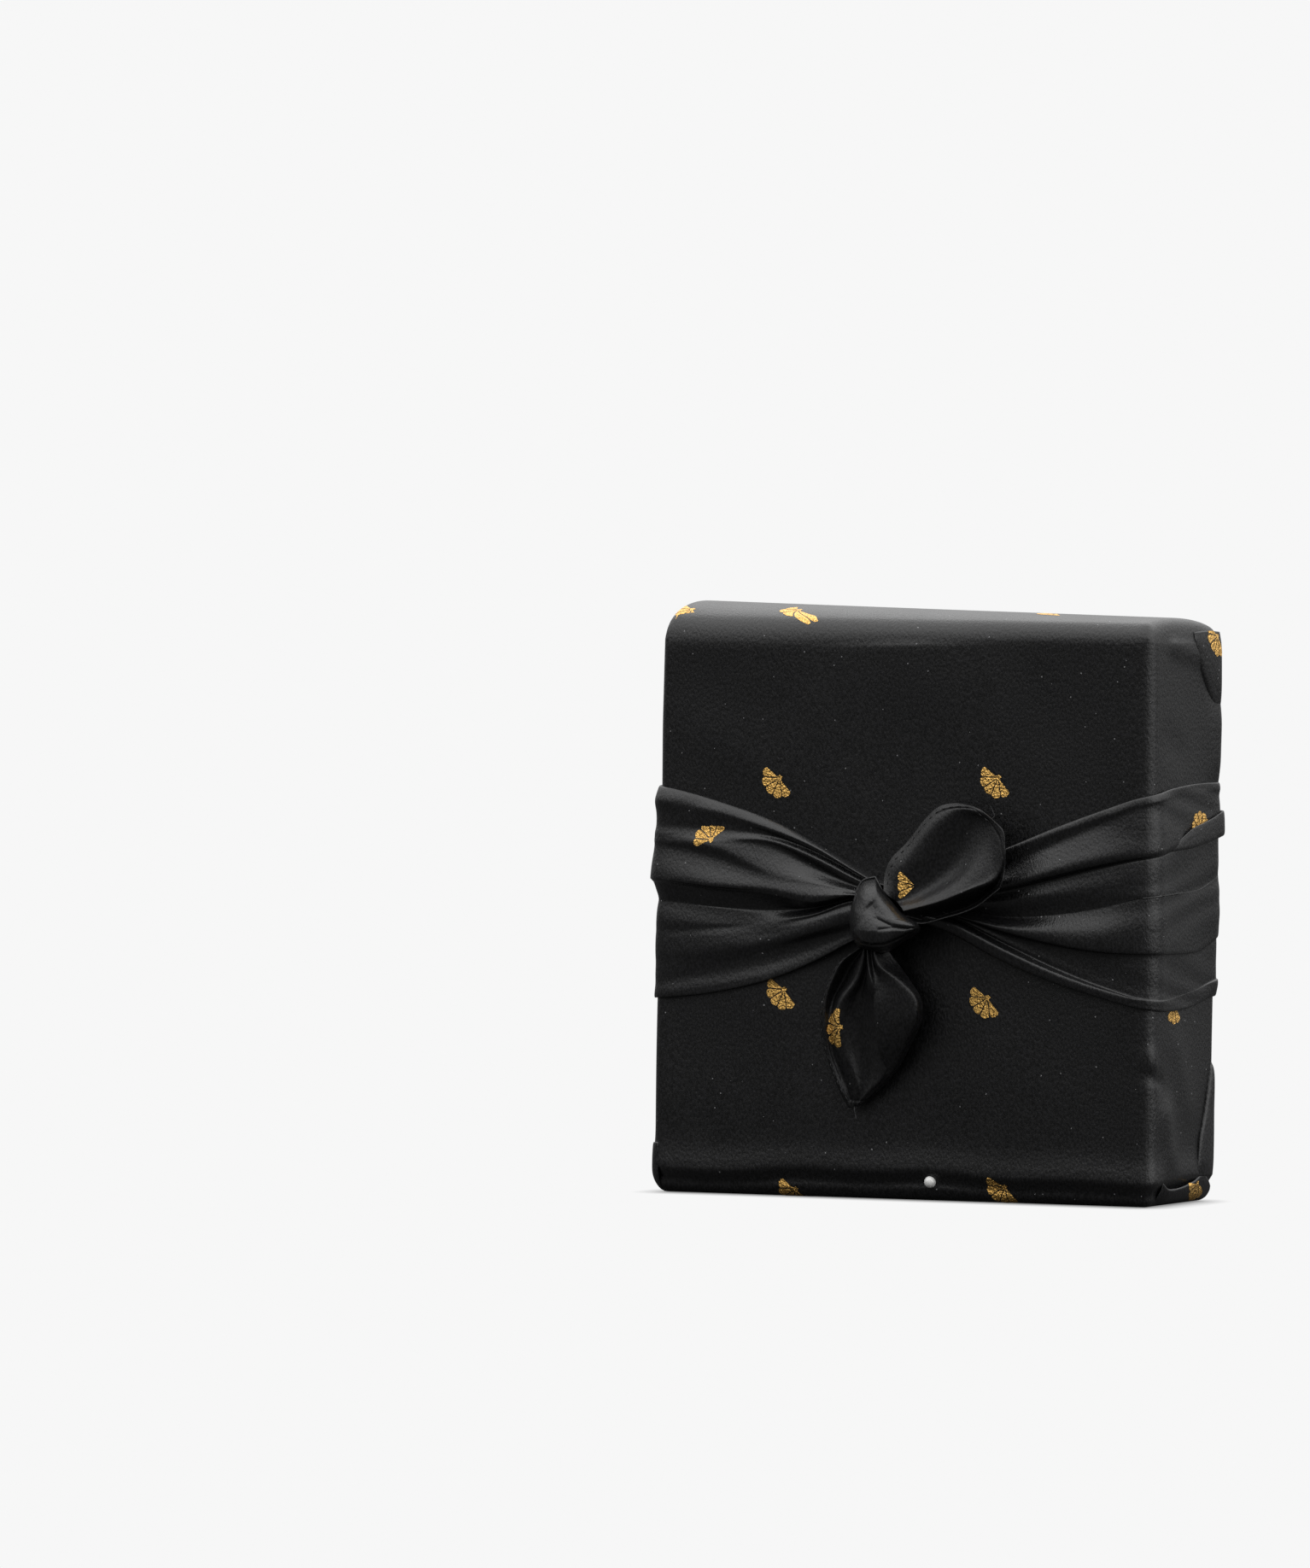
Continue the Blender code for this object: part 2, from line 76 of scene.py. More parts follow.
def softStep(value, low, high):
    # Nothing below low, one above high, and an even S between them.
    t = np.clip((value - low) / (high - low), 0, 1)
    return t * t * (3 - 2 * t)


def settled(points):
    # Sideways move of the left end and of the back right edge, growing with height.
    x, y, z = points[..., 0], points[..., 1], points[..., 2]
    up = np.clip(z / parcel["height"], 0, parcel["settleEnd"])
    left = np.clip(-2 * x / parcel["width"], 0, 1) ** 2
    back = np.clip(2 * x / parcel["width"], 0, 1) ** 2 * np.clip(y / parcel["depth"] + 0.5, 0, 1)
    moved = points.copy()
    moved[..., 0] += left * (parcel["leftBase"] + (parcel["leftTop"] - parcel["leftBase"]) * up)
    moved[..., 0] += back * (parcel["backBase"] + (parcel["backTop"] - parcel["backBase"]) * up)
    return moved


def planRuns():
    # Half of each straight side of the plan, and the length of one rounded corner.
    r = parcel["uprightRound"]
    return parcel["width"] / 2 - r, parcel["depth"] / 2 - r, r * math.pi / 2


def alongPlan(arc):
    # A rounded rectangle walked anticlockwise from the middle of the front: the inner rectangle's point,
    # and the outward direction, whose heading turns a quarter at each corner.
    halfX, halfY, bend = planRuns()
    marks = np.cumsum([0, halfX, bend, 2 * halfY, bend, 2 * halfX, bend, 2 * halfY, bend, halfX])
    arc = np.mod(arc, marks[-1])
    heading = np.radians(np.interp(arc, marks, [0, 0, 90, 90, 180, 180, 270, 270, 360, 360]))
    x = np.interp(arc, marks, [0] + [halfX] * 4 + [-halfX] * 4 + [0])
    y = np.interp(arc, marks, [-halfY] * 3 + [halfY] * 4 + [-halfY] * 3)
    return np.stack((x, y), -1), np.stack((np.sin(heading), -np.cos(heading)), -1)


def planLength():
    # Once round the parcel: its straight sides and four quarter rounds.
    r = parcel["uprightRound"]
    return 2 * (parcel["width"] + parcel["depth"]) - 8 * r + 2 * math.pi * r


def footInset(z):
    # How far the rounded foot stands back from the wall: a quarter round, narrower than it is high.
    turn = 1 - np.clip((z + parcel["datum"]) / parcel["footRound"], 0, 1)
    return parcel["footShare"] * parcel["footRound"] * (1 - np.sqrt(1 - turn**2))


def onWall(arc, z, lift):
    # The wall's place at an arc length and height, moved outwards by the lift.
    inner, out = alongPlan(arc)
    flat = inner + (parcel["uprightRound"] - footInset(z) + lift)[..., None] * out
    return settled(np.concatenate((flat, z[..., None]), -1))


def crownHeight(x, y):
    # The soft top's height: nearly an ellipse across the box, straight along it, late to drop at its ends.
    share = np.clip(x / parcel["width"] + 0.5, 0, 1)
    rise = parcel["crownLeft"] + (parcel["crownRight"] - parcel["crownLeft"]) * share
    ends = 1 - np.clip(np.abs(2 * x / parcel["width"]), 0, 1) ** parcel["crownEnds"]
    return rise * ends * np.sqrt(1 - np.clip(np.abs(2 * y / parcel["depth"]), 0, 1) ** parcel["crownAcross"])


def gridNormals(grid):
    # Cross product of the two grid directions, of unit length.
    normal = np.cross(np.gradient(grid, axis=1), np.gradient(grid, axis=0))
    return normal / np.maximum(np.linalg.norm(normal, axis=-1, keepdims=True), 1e-9)


def runAlong(line):
    # Distance from a line's start to each of its points.
    return np.concatenate(([0], np.cumsum(np.linalg.norm(np.diff(line, axis=0), axis=1))))


def smoothSheet(table, alongSteps, acrossSteps):
    # One cubic curve down each column of a table of points, then one across each of the finer rows.
    rows, columns = table.shape[:2]
    sheet = smoothCurve(np.linspace(0, rows - 1, alongSteps), np.arange(rows), table)
    across = np.linspace(0, columns - 1, acrossSteps)
    return smoothCurve(across, np.arange(columns), sheet.transpose(1, 0, 2)).transpose(1, 0, 2)


def gridFaces(rows, columns, closed=False):
    # Four corners of each cell; with closed, the last column joins the first.
    index = np.arange(rows * columns).reshape(rows, columns)
    if closed:
        index = np.concatenate((index, index[:, :1]), 1)
    cells = (index[:-1, :-1], index[:-1, 1:], index[1:, 1:], index[1:, :-1])
    return np.stack([c.ravel() for c in cells], 1)


def sampleGrid(grid, row, column):
    # Bilinear reading of a grid at fractional rows and columns.
    lastRow, lastColumn = grid.shape[0] - 1.001, grid.shape[1] - 1.001  # just inside the last cell
    row, column = np.clip(row, 0, lastRow), np.clip(column, 0, lastColumn)
    r, c = row.astype(int), column.astype(int)
    a, b = (row - r)[..., None], (column - c)[..., None]
    low = grid[r, c] * (1 - b) + grid[r, c + 1] * b
    high = grid[r + 1, c] * (1 - b) + grid[r + 1, c + 1] * b
    return low * (1 - a) + high * a


def newPiece(name, points, faces, material, wall=None, flatUv=None):
    # Points in millimetres and faces as index rows, raised from the datum, as a smooth object at the origin.
    mesh = bpy.data.meshes.new(name)
    raised = points.reshape(-1, 3) + (0, 0, parcel["datum"])
    mesh.from_pydata((raised * mm).tolist(), [], faces.tolist())
    if flatUv is not None:
        layer = mesh.uv_layers.new(name="flatCloth")
        corner = np.zeros(len(mesh.loops), np.int32)
        mesh.loops.foreach_get("vertex_index", corner)
        layer.data.foreach_set("uv", flatUv.reshape(-1, 2)[corner].astype(np.float32).ravel())
    mesh.validate()
    mesh.shade_smooth()
    mesh.materials.append(material)
    obj = bpy.data.objects.new(name, mesh)
    bpy.context.scene.collection.objects.link(obj)
    if wall:
        solidify = obj.modifiers.new("wall", "SOLIDIFY")
        solidify.thickness = wall * mm
        solidify.offset = -1
    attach(obj, "root")
    return obj


def clothPiece(name, grid, material, closed=False):
    # A grid of cloth with a thin wall inwards. A closed one is a tube, whose two ends close to a point.
    rows, columns = grid.shape[:2]
    runs, sides = runAlong(grid[:, columns // 2]), runAlong(grid[rows // 2])
    flatUv = np.stack(np.broadcast_arrays(sides[None, :], runs[:, None]), -1) * mm
    obj = newPiece(name, grid, gridFaces(rows, columns, closed), material, wall=clothWall, flatUv=flatUv)
    if closed:
        bm = bmesh.new()
        bm.from_mesh(obj.data)
        bmesh.ops.remove_doubles(bm, verts=bm.verts, dist=1e-6)
        bmesh.ops.dissolve_degenerate(bm, dist=1e-7, edges=bm.edges)
        bm.to_mesh(obj.data)
        bm.free()
        obj.data.shade_smooth()
    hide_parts("furoshiki_cloth")
    return obj


def feed(tree, node, inputs):
    # Each input gets a plain value, or a link when it is given another node's output.
    for label, value in inputs.items():
        if isinstance(value, bpy.types.NodeSocket):
            tree.links.new(value, node.inputs[label])
        else:
            node.inputs[label].default_value = value


def addNode(tree, kind, inputs, **settings):
    # A shader node, with its settings made first, because they decide which sockets it has.
    node = tree.nodes.new("ShaderNode" + kind)
    for label, value in settings.items():
        setattr(node, label, value)
    feed(tree, node, inputs)
    return node


def objectPlace(tree):
    # A point's place in its object, which every pattern here reads.
    return addNode(tree, "TexCoord", {}).outputs["Object"]


def noise(tree, place, scale, detail=2.0):
    return addNode(tree, "TexNoise", {"Vector": place, "Scale": scale, "Detail": detail}).outputs["Fac"]


def reckon(tree, operation, first, second):
    # The sum, product or comparison of two values.
    return addNode(tree, "Math", {0: first, 1: second}, operation=operation).outputs["Value"]


def spread(tree, value, low, high, fromLow=0.0, fromHigh=1.0, **settings):
    # A value between fromLow and fromHigh mapped onto low to high.
    inputs = {"Value": value, "From Min": fromLow, "From Max": fromHigh, "To Min": low, "To Max": high}
    return addNode(tree, "MapRange", inputs, **settings).outputs["Result"]


def blend(tree, share, first, second):
    # The first colour where the share is 0, and the second where it is 1.
    node = addNode(tree, "Mix", {"Factor": share, "A": first, "B": second}, data_type="RGBA")
    return node.outputs["Result"]


def newGroup(name, inputs, outputs):
    # A shader group whose inputs are numbers with a first value, and whose outputs are each given their kind.
    group = bpy.data.node_groups.new(name, "ShaderNodeTree")
    for label, value in inputs.items():
        socket = group.interface.new_socket(label, in_out="INPUT", socket_type="NodeSocketFloat")
        socket.default_value = value
    for label, kind in outputs.items():
        group.interface.new_socket(label, in_out="OUTPUT", socket_type="NodeSocket" + kind)
    return group, group.nodes.new("NodeGroupInput").outputs, group.nodes.new("NodeGroupOutput")


floats = {"stretch": (1.0, 1.0, 0.55), "slow": 60.0, "height": 0.00015}


def makeWeaveGroup():
    # Satin's fine floats: noise stretched along the warp, over a broad slow wave of the sheen.
    sockets = {"Grain": "Float", "Slow": "Float", "Normal": "Vector"}
    group, given, result = newGroup("satinWeave", {"Grain": 2200.0, "Depth": 0.3}, sockets)
    place = objectPlace(group)
    stretched = addNode(group, "Mapping", {"Vector": place, "Scale": floats["stretch"]}).outputs["Vector"]
    grain = noise(group, stretched, given["Grain"])
    bump = addNode(group, "Bump", {"Height": grain, "Strength": given["Depth"], "Distance": floats["height"]})
    slow = noise(group, place, floats["slow"])
    feed(group, result, {"Grain": grain, "Slow": slow, "Normal": bump.outputs["Normal"]})
    return group


lint = {"colour": (0.20, 0.20, 0.205, 1), "spacing": 300.0, "size": 0.06, "dropped": 0.45}


def makeLintGroup():
    # Tiny dust specks: the cores of scattered cells, each kept or dropped by its cell's own value.
    group, given, result = newGroup("lintSpecks", {"Spacing": 260.0, "Size": 0.05}, {"Mask": "Float"})
    cells = addNode(group, "TexVoronoi", {"Vector": objectPlace(group), "Scale": given["Spacing"]}).outputs
    own = addNode(group, "SeparateColor", {"Color": cells["Color"]}).outputs["Red"]
    small = reckon(group, "LESS_THAN", cells["Distance"], given["Size"])
    kept = reckon(group, "GREATER_THAN", own, lint["dropped"])
    feed(group, result, {"Mask": reckon(group, "MULTIPLY", small, kept)})
    return group


weaveGroup = makeWeaveGroup()
lintGroup = makeLintGroup()


def newMaterial(name):
    # A new material with its node tree and its one shader.
    material = bpy.data.materials.new(name)
    material.use_nodes = True
    return material, material.node_tree, material.node_tree.nodes["Principled BSDF"]


def placeWeave(tree, grain, depth):
    return addNode(tree, "Group", {"Grain": grain, "Depth": depth}, node_tree=weaveGroup).outputs


satin = {
    "dark": (0.0006, 0.0006, 0.0007, 1), "light": (0.0088, 0.0088, 0.0094, 1), "span": (0.36, 0.64),
    "grain": 1700.0, "grainDepth": 1.0,
}


def makeSatin(name, rough, specular):
    # Black satin: a fine speckle of the weave in colour, roughness and bump, and dust that has settled on it.
    material, tree, shader = newMaterial(name)
    weave = placeWeave(tree, satin["grain"], satin["grainDepth"])
    dust = addNode(tree, "Group", {"Spacing": lint["spacing"], "Size": lint["size"]}, node_tree=lintGroup)
    tone = blend(tree, spread(tree, weave["Grain"], 0, 1, *satin["span"]), satin["dark"], satin["light"])
    feed(tree, shader, {
        "Base Color": blend(tree, dust.outputs["Mask"], tone, lint["colour"]),
        "Roughness": spread(tree, weave["Slow"], *rough),
        "Normal": weave["Normal"],
        "Specular IOR Level": specular,
    })
    return material


foil = {
    "gold": (0.86, 0.52, 0.15, 1), "worn": (0.10, 0.05, 0.015, 1), "rough": (0.26, 0.5),
    "wear": 2600.0, "wearSpan": (0.50, 0.70), "crinkle": 1500.0,
    "crinkleDetail": 4.0, "crinkleHeight": 0.0008,
}


def makeFoil():
    # Hot-stamped gold foil, crinkled by the weave under it, with thin worn spots.
    material, tree, shader = newMaterial("goldFoil")
    place = objectPlace(tree)
    crinkle = noise(tree, place, foil["crinkle"], foil["crinkleDetail"])
    wear = noise(tree, place, foil["wear"])
    bump = addNode(tree, "Bump", {"Height": crinkle, "Strength": 1.0, "Distance": foil["crinkleHeight"]})
    feed(tree, shader, {
        "Base Color": blend(tree, spread(tree, wear, 0, 1, *foil["wearSpan"]), foil["gold"], foil["worn"]),
        "Roughness": spread(tree, wear, *foil["rough"]),
        "Normal": bump.outputs["Normal"],
        "Metallic": 1.0,
    })
    return material


thread = {
    "dark": (0.008, 0.008, 0.009, 1), "light": (0.03, 0.03, 0.031, 1),
    "twist": 5200.0, "depth": 0.6, "rough": 0.7,
}


def makeThread():
    # Spun thread: dark, matt, with twist lines.
    material, tree, shader = newMaterial("sewingThread")
    weave = placeWeave(tree, thread["twist"], thread["depth"])
    feed(tree, shader, {
        "Base Color": blend(tree, weave["Grain"], thread["dark"], thread["light"]),
        "Roughness": thread["rough"],
        "Normal": weave["Normal"],
    })
    return material


pearl = {
    "dull": (0.62, 0.62, 0.61, 1), "bright": (0.78, 0.78, 0.76, 1), "rough": (0.2, 0.3), "coat": 0.4,
    "scuffs": 1500.0, "scuffDepth": 0.05,
}


def makePinPlastic():
    # Pearly white plastic with a faint slow cloud and fine scuffs.
    material, tree, shader = newMaterial("pinPlastic")
    weave = placeWeave(tree, pearl["scuffs"], pearl["scuffDepth"])
    feed(tree, shader, {
        "Base Color": blend(tree, weave["Slow"], pearl["dull"], pearl["bright"]),
        "Roughness": spread(tree, weave["Grain"], *pearl["rough"]),
        "Normal": weave["Normal"],
        "Coat Weight": pearl["coat"],
    })
    return material


satinCloth = makeSatin("blackSatin", (0.32, 0.40), 0.47)
tailSatin = makeSatin("tailSatin", (0.38, 0.46), 0.36)  # the free tails show the cloth's duller side
goldFoil = makeFoil()
sewingThread = makeThread()
pinPlastic = makePinPlastic()
print("materials made")

# The wrapped body
body = {
    "aroundSteps": {"front": 90, "flank": 54, "back": 60, "corner": 9},
    "footRows": 14, "wallRows": 110, "topRows": 12, "crownRows": 25, "baseRows": 6,
    "baseCrowding": 0.7, "wallCrowding": 1.15,  # powers that bring the rows closer together towards the foot
}

# Soft ridges (+) and troughs (-) of the wall: start arc and height, end arc and height, width, relief.
# The front runs from arc -76 to 76, the right flank from 82 to 119, and the left flank from -119 to -82.
wallStrokes = (
    (-20, 150, 30, 140, 16.0, 0.25),
    (-76, 138, -38, 118, 9.0, 0.30),
    (-70, 30, -10, 18, 14.0, 0.25),
    (10, 30, 70, 34, 15.0, 0.22),
    (79, 42, 81, 36, 2.4, 0.5),
    (77, 35.5, 86, 32.5, 1.7, -0.4),
    (87, 27, 92, 8, 5.0, 1.1),
    (94, 46, 106, 22, 5.0, 0.3),
    (90, 156, 112, 153, 2.6, 0.5),
    (123, 142, 125, 116, 9.0, 1.7),
    (86, 130, 100, 124, 5.0, -0.25),
    (-88, 140, -112, 120, 5.0, 0.5),
    (-86, 36, -112, 22, 4.0, 0.5),
    (-92, 48, -110, 40, 3.0, -0.4),
    (140, 140, 200, 90, 9.0, 0.5),
    (260, 140, 210, 90, 9.0, 0.5),
)


def strokeRelief(arc, z, strokes):
    # Sum of soft strokes: each is a bell across the line from its start to its end, fading at both ends.
    total = np.zeros(np.broadcast(arc, z).shape)
    length = planLength()
    arc = np.mod(arc + length / 2, length) - length / 2
    for startArc, startZ, endArc, endZ, width, height in strokes:
        wrap = np.where(arc < startArc - length / 2, arc + length, arc)
        dx, dz = endArc - startArc, endZ - startZ
        span = math.hypot(dx, dz)
        along = ((wrap - startArc) * dx + (z - startZ) * dz) / span
        off = ((wrap - startArc) * dz - (z - startZ) * dx) / span
        ends = softStep(along, -width, width) * softStep(span - along, -width, width)
        total = total + height * ends * np.exp(-((off / width) ** 2))
    return total


slack = {
    # height of relief, run along the wall, run up it, and where it starts
    "broad": {"relief": 0.16, "run": 17, "rise": 37, "from": 0.6, "bend": 1.1, "bendRise": 31},
    "fine": {"relief": 0.10, "run": 9.5, "rise": 14, "from": 2.0},
    # the lip: its height, how that waves and ripples along the wall, its relief and how fast that falls off
    "lip": {"height": 5.2, "wave": 0.8, "waveRun": 24, "waveFrom": 1.9, "ripple": 0.4, "rippleRun": 7.1,
            "relief": 0.75, "above": 5.2, "below": 1.1},
    "tuck": {"relief": 0.7, "drop": 3.4, "width": 1.5},  # the hollow under the lip
}


def wallRelief(arc, z):
    # The cloth's slackness: long slow waves, soft strokes, and the wavy lip where the front turns under.
    broad, fine, lip, tuck = slack["broad"], slack["fine"], slack["lip"], slack["tuck"]
    bend = broad["bend"] * np.sin(z / broad["bendRise"])
    slow = broad["relief"] * np.sin(arc / broad["run"] + bend) * np.sin(z / broad["rise"] + broad["from"])
    slow = slow + fine["relief"] * np.sin(arc / fine["run"] + z / fine["rise"] + fine["from"])
    height = lip["height"] + lip["wave"] * np.sin(arc / lip["waveRun"] + lip["waveFrom"])
    height = height + lip["ripple"] * np.sin(arc / lip["rippleRun"])
    fall = np.where(z > height, lip["above"], lip["below"])
    edge = lip["relief"] * np.exp(-(((z - height) / fall) ** 2))
    edge = edge - tuck["relief"] * np.exp(-(((z - height + tuck["drop"]) / tuck["width"]) ** 2))
    return slow + edge + strokeRelief(arc, z, wallStrokes)


def bodyArcs():
    # Even steps along each side and closer ones round each corner, once about the parcel.
    halfX, halfY, bend = planRuns()
    parts, start = [], -halfX
    for side, length in (("front", halfX), ("flank", halfY), ("back", halfX), ("flank", halfY)):
        for part, run in ((side, 2 * length), ("corner", bend)):
            steps = body["aroundSteps"][part]
            parts.append(start + run * np.arange(steps) / steps)
            start += run
    return np.concatenate(parts)


def bodyGrid():
    # The plan carried up a profile: flat base, quarter-round foot, wall, rounded rim, and the soft crown.
    arc = bodyArcs()
    inner, out = alongPlan(arc)
    r, height = parcel["uprightRound"], parcel["height"]
    rows = []
    base = np.full(len(arc), -parcel["datum"])
    for share in np.linspace(0, 1, body["baseRows"]) ** body["baseCrowding"]:
        reach = r - parcel["footShare"] * parcel["footRound"]
        rows.append(np.column_stack(((inner + reach * out) * share, base)))
    for angle in np.linspace(0, math.pi / 2, body["footRows"] + 1)[1:]:
        inset = parcel["footShare"] * parcel["footRound"] * (1 - math.sin(angle))
        z = base + parcel["footRound"] * (1 - math.cos(angle))
        lift = wallRelief(arc, z) * math.sin(angle)
        rows.append(np.column_stack((inner + (r - inset + lift)[:, None] * out, z)))
    low, high = parcel["footRound"] - parcel["datum"], height - parcel["topRound"]
    for level in low + (high - low) * np.linspace(0, 1, body["wallRows"] + 1)[1:] ** body["wallCrowding"]:
        z = np.full(len(arc), level)
        rows.append(np.column_stack((inner + (r + wallRelief(arc, z))[:, None] * out, z)))
    edge = wallRelief(arc, np.full(len(arc), height - parcel["topRound"]))
    for angle in np.linspace(0, math.pi / 2, body["topRows"] + 1)[1:]:
        reach = r - r * (1 - math.cos(angle)) + edge * math.cos(angle)
        flat = inner + reach[:, None] * out
        z = height - parcel["topRound"] * (1 - math.sin(angle)) + crownHeight(flat[:, 0], flat[:, 1])
        rows.append(np.column_stack((flat, z)))
    for share in np.linspace(1, 0, body["crownRows"] + 1)[1:]:
        flat = inner * share
        rows.append(np.column_stack((flat, height + crownHeight(flat[:, 0], flat[:, 1]))))
    return settled(np.stack(rows))


bodySurface = bodyGrid()
wrapBody = clothPiece("wrapBody", bodySurface, satinCloth, closed=True)
print("wrapBody", bodySurface.shape)


# Turned layers that lie on the wall. Each row runs across at one level, as (arc, height, lift) points.
flaps = {
    "rightCuff": {
        "flat": (0.05, 0.012), "area": 0.0004, "rows": (
            ((84.0, -2.3, -0.5), (90, -2.3, 0.1), (98, -2.3, 0.1),
             (107, -2.3, 0.1), (114, -2.3, 0.1), (122, -2.3, 0.0)),
            ((84.8, -0.2, -0.2), (90, -0.6, 0.7), (98, -0.8, 0.9),
             (107, -0.6, 0.8), (114, -0.2, 0.8), (122, -1.6, 0.4)),
            ((85.6, 3.0, 0.4), (90, 1.4, 1.0), (98, 1.4, 1.1),
             (107, 2.6, 1.0), (114, 4.2, 1.1), (122, -0.6, 0.6)),
            ((85.9, 4.2, 0.5), (90, 2.2, 0.9), (98, 2.3, 1.0),
             (107, 3.6, 0.9), (114, 5.3, 1.0), (122, 0.6, 0.5)),
            ((86.0, 4.5, 0.1), (90, 2.5, 0.4), (98, 2.5, 0.5),
             (107, 3.8, 0.4), (114, 5.5, 0.4), (122, 0.8, 0.1)),
            ((86.2, 3.9, -0.5), (90, 1.8, -0.5), (98, 1.8, -0.5),
             (107, 3.1, -0.5), (114, 4.8, -0.5), (122, 0.2, -0.5)),
        ),
    },
    "leftCuff": {
        "flat": (0.05, 0.017), "area": 0.0006, "rows": (
            ((-77.6, -2.3, 0.0), (-84, -2.3, 0.2), (-100, -2.3, 0.2), (-116, -2.3, 0.2), (-124, -2.3, 0.0)),
            ((-77.2, 2.4, 0.5), (-84, 2.4, 0.9), (-100, 1.8, 0.9), (-116, 1.4, 0.8), (-126, 1.2, -0.4)),
            ((-77.0, 7.4, 0.6), (-84, 7.2, 1.0), (-100, 6.0, 0.9), (-116, 4.8, 0.8), (-126, 4.0, -0.4)),
            ((-77.2, 11.4, 0.5), (-84, 11.2, 0.8), (-100, 9.6, 0.8), (-116, 7.8, 0.7), (-126, 6.6, -0.4)),
            ((-77.6, 12.2, 0.1), (-84, 11.8, 0.3), (-100, 10.0, 0.3), (-116, 8.0, 0.3), (-126, 6.8, -0.4)),
            ((-78.0, 11.4, -0.5), (-84, 11.0, -0.5), (-100, 9.2, -0.5), (-116, 7.2, -0.5), (-124, 6.0, -0.5)),
        ),
    },
    "topEar": {
        "flat": (0.026, 0.022), "area": 0.00045, "rows": (
            ((105.4, 160.0, -0.6), (106.4, 160.2, 0.1),
             (113, 160.6, 0.5), (121, 160.4, 0.5), (129, 159.8, -0.6)),
            ((105.8, 156.4, -0.5), (106.8, 156.6, 0.5),
             (113.4, 156.6, 1.0), (121, 156.4, 1.1), (129, 156.0, -0.6)),
            ((108.8, 150.0, -0.5), (109.8, 150.2, 0.6),
             (115.0, 150.0, 1.2), (121, 149.6, 1.3), (129, 149.4, -0.6)),
            ((113.0, 143.6, -0.5), (114.0, 143.8, 0.6),
             (117.8, 143.0, 1.1), (122, 142.6, 1.2), (129, 142.6, -0.6)),
            ((116.8, 139.0, -0.5), (117.6, 139.0, 0.4),
             (120.2, 138.4, 0.7), (123, 138.2, 0.7), (129, 138.4, -0.6)),
            ((117.6, 138.2, -0.6), (118.2, 138.0, -0.3),
             (120.6, 137.6, -0.3), (123.2, 137.4, -0.3), (129, 137.8, -0.6)),
        ),
    },
    "sideTip": {
        "flat": (0.042, 0.012), "area": 0.0003, "rests": "tiedRight", "rows": (
            ((90, 98.4, 0.8), (100, 103.2, 1.8), (107, 104.9, 1.9),
             (114, 106.4, 1.9), (121, 108.4, 1.8), (132, 109.0, -0.4)),
            ((89.6, 98.6, 1.0), (100, 103.8, 2.2), (107, 105.6, 2.5),
             (114, 107.2, 2.6), (121, 109.1, 2.5), (132, 109.6, -0.4)),
            ((89.2, 98.2, 1.2), (100, 101.6, 2.5), (107, 102.8, 2.8),
             (114, 104.0, 2.9), (121, 105.6, 2.8), (132, 106.5, -0.4)),
            ((89.4, 97.8, 1.1), (100, 98.9, 2.5), (107, 99.9, 2.7),
             (114, 101.0, 2.8), (121, 102.5, 2.7), (132, 103.9, -0.4)),
            ((89.8, 97.7, 0.8), (100, 98.5, 1.3), (107, 99.5, 1.4),
             (114, 100.6, 1.4), (121, 102.1, 1.4), (132, 103.5, -0.4)),
        ),
    },
    "backFlap": {
        "flat": (0.038, 0.014), "area": 0.0005, "rows": (
            ((119.6, 37.4, -0.5), (120.0, 37.4, -0.2), (122, 37.8, -0.2), (129, 38.0, -0.6)),
            ((118.4, 34.0, -0.5), (119.0, 34.0, 0.7), (122, 34.2, 0.9), (129, 34.4, -0.6)),
            ((114.6, 23.3, -0.5), (115.3, 23.4, 1.1), (120, 23.4, 1.2), (129, 23.4, -0.6)),
            ((111.6, 16.1, -0.5), (112.3, 16.2, 1.2), (119, 16.2, 1.4), (129, 16.2, -0.6)),
            ((110.0, 9.0, -0.5), (110.8, 9.0, 1.2), (118, 9.0, 1.5), (129, 9.0, -0.6)),
            ((109.8, 5.0, -0.5), (110.6, 5.0, 0.9), (118, 5.0, 1.2), (129, 5.0, -0.6)),
        ),
    },
}


flapMesh = {"along": 40, "across": 60}


def flapGrid(rows):
    # A smooth sheet through its rows of wall places.
    sheet = smoothSheet(np.array(rows, float), flapMesh["along"], flapMesh["across"])
    return onWall(sheet[..., 0], sheet[..., 1], sheet[..., 2])


def faceOutwards(grid):
    # Turns the columns round where the grid's normals point towards the parcel's middle.
    middle = np.array((0, 0, parcel["height"] / 2))
    side = (gridNormals(grid) * (grid - middle) * (1, 1, 0)).sum()
    return grid if side > 0 else grid[:, ::-1]


# The two tied corners: long pleats that run from the knot round the flanks and cross on the back

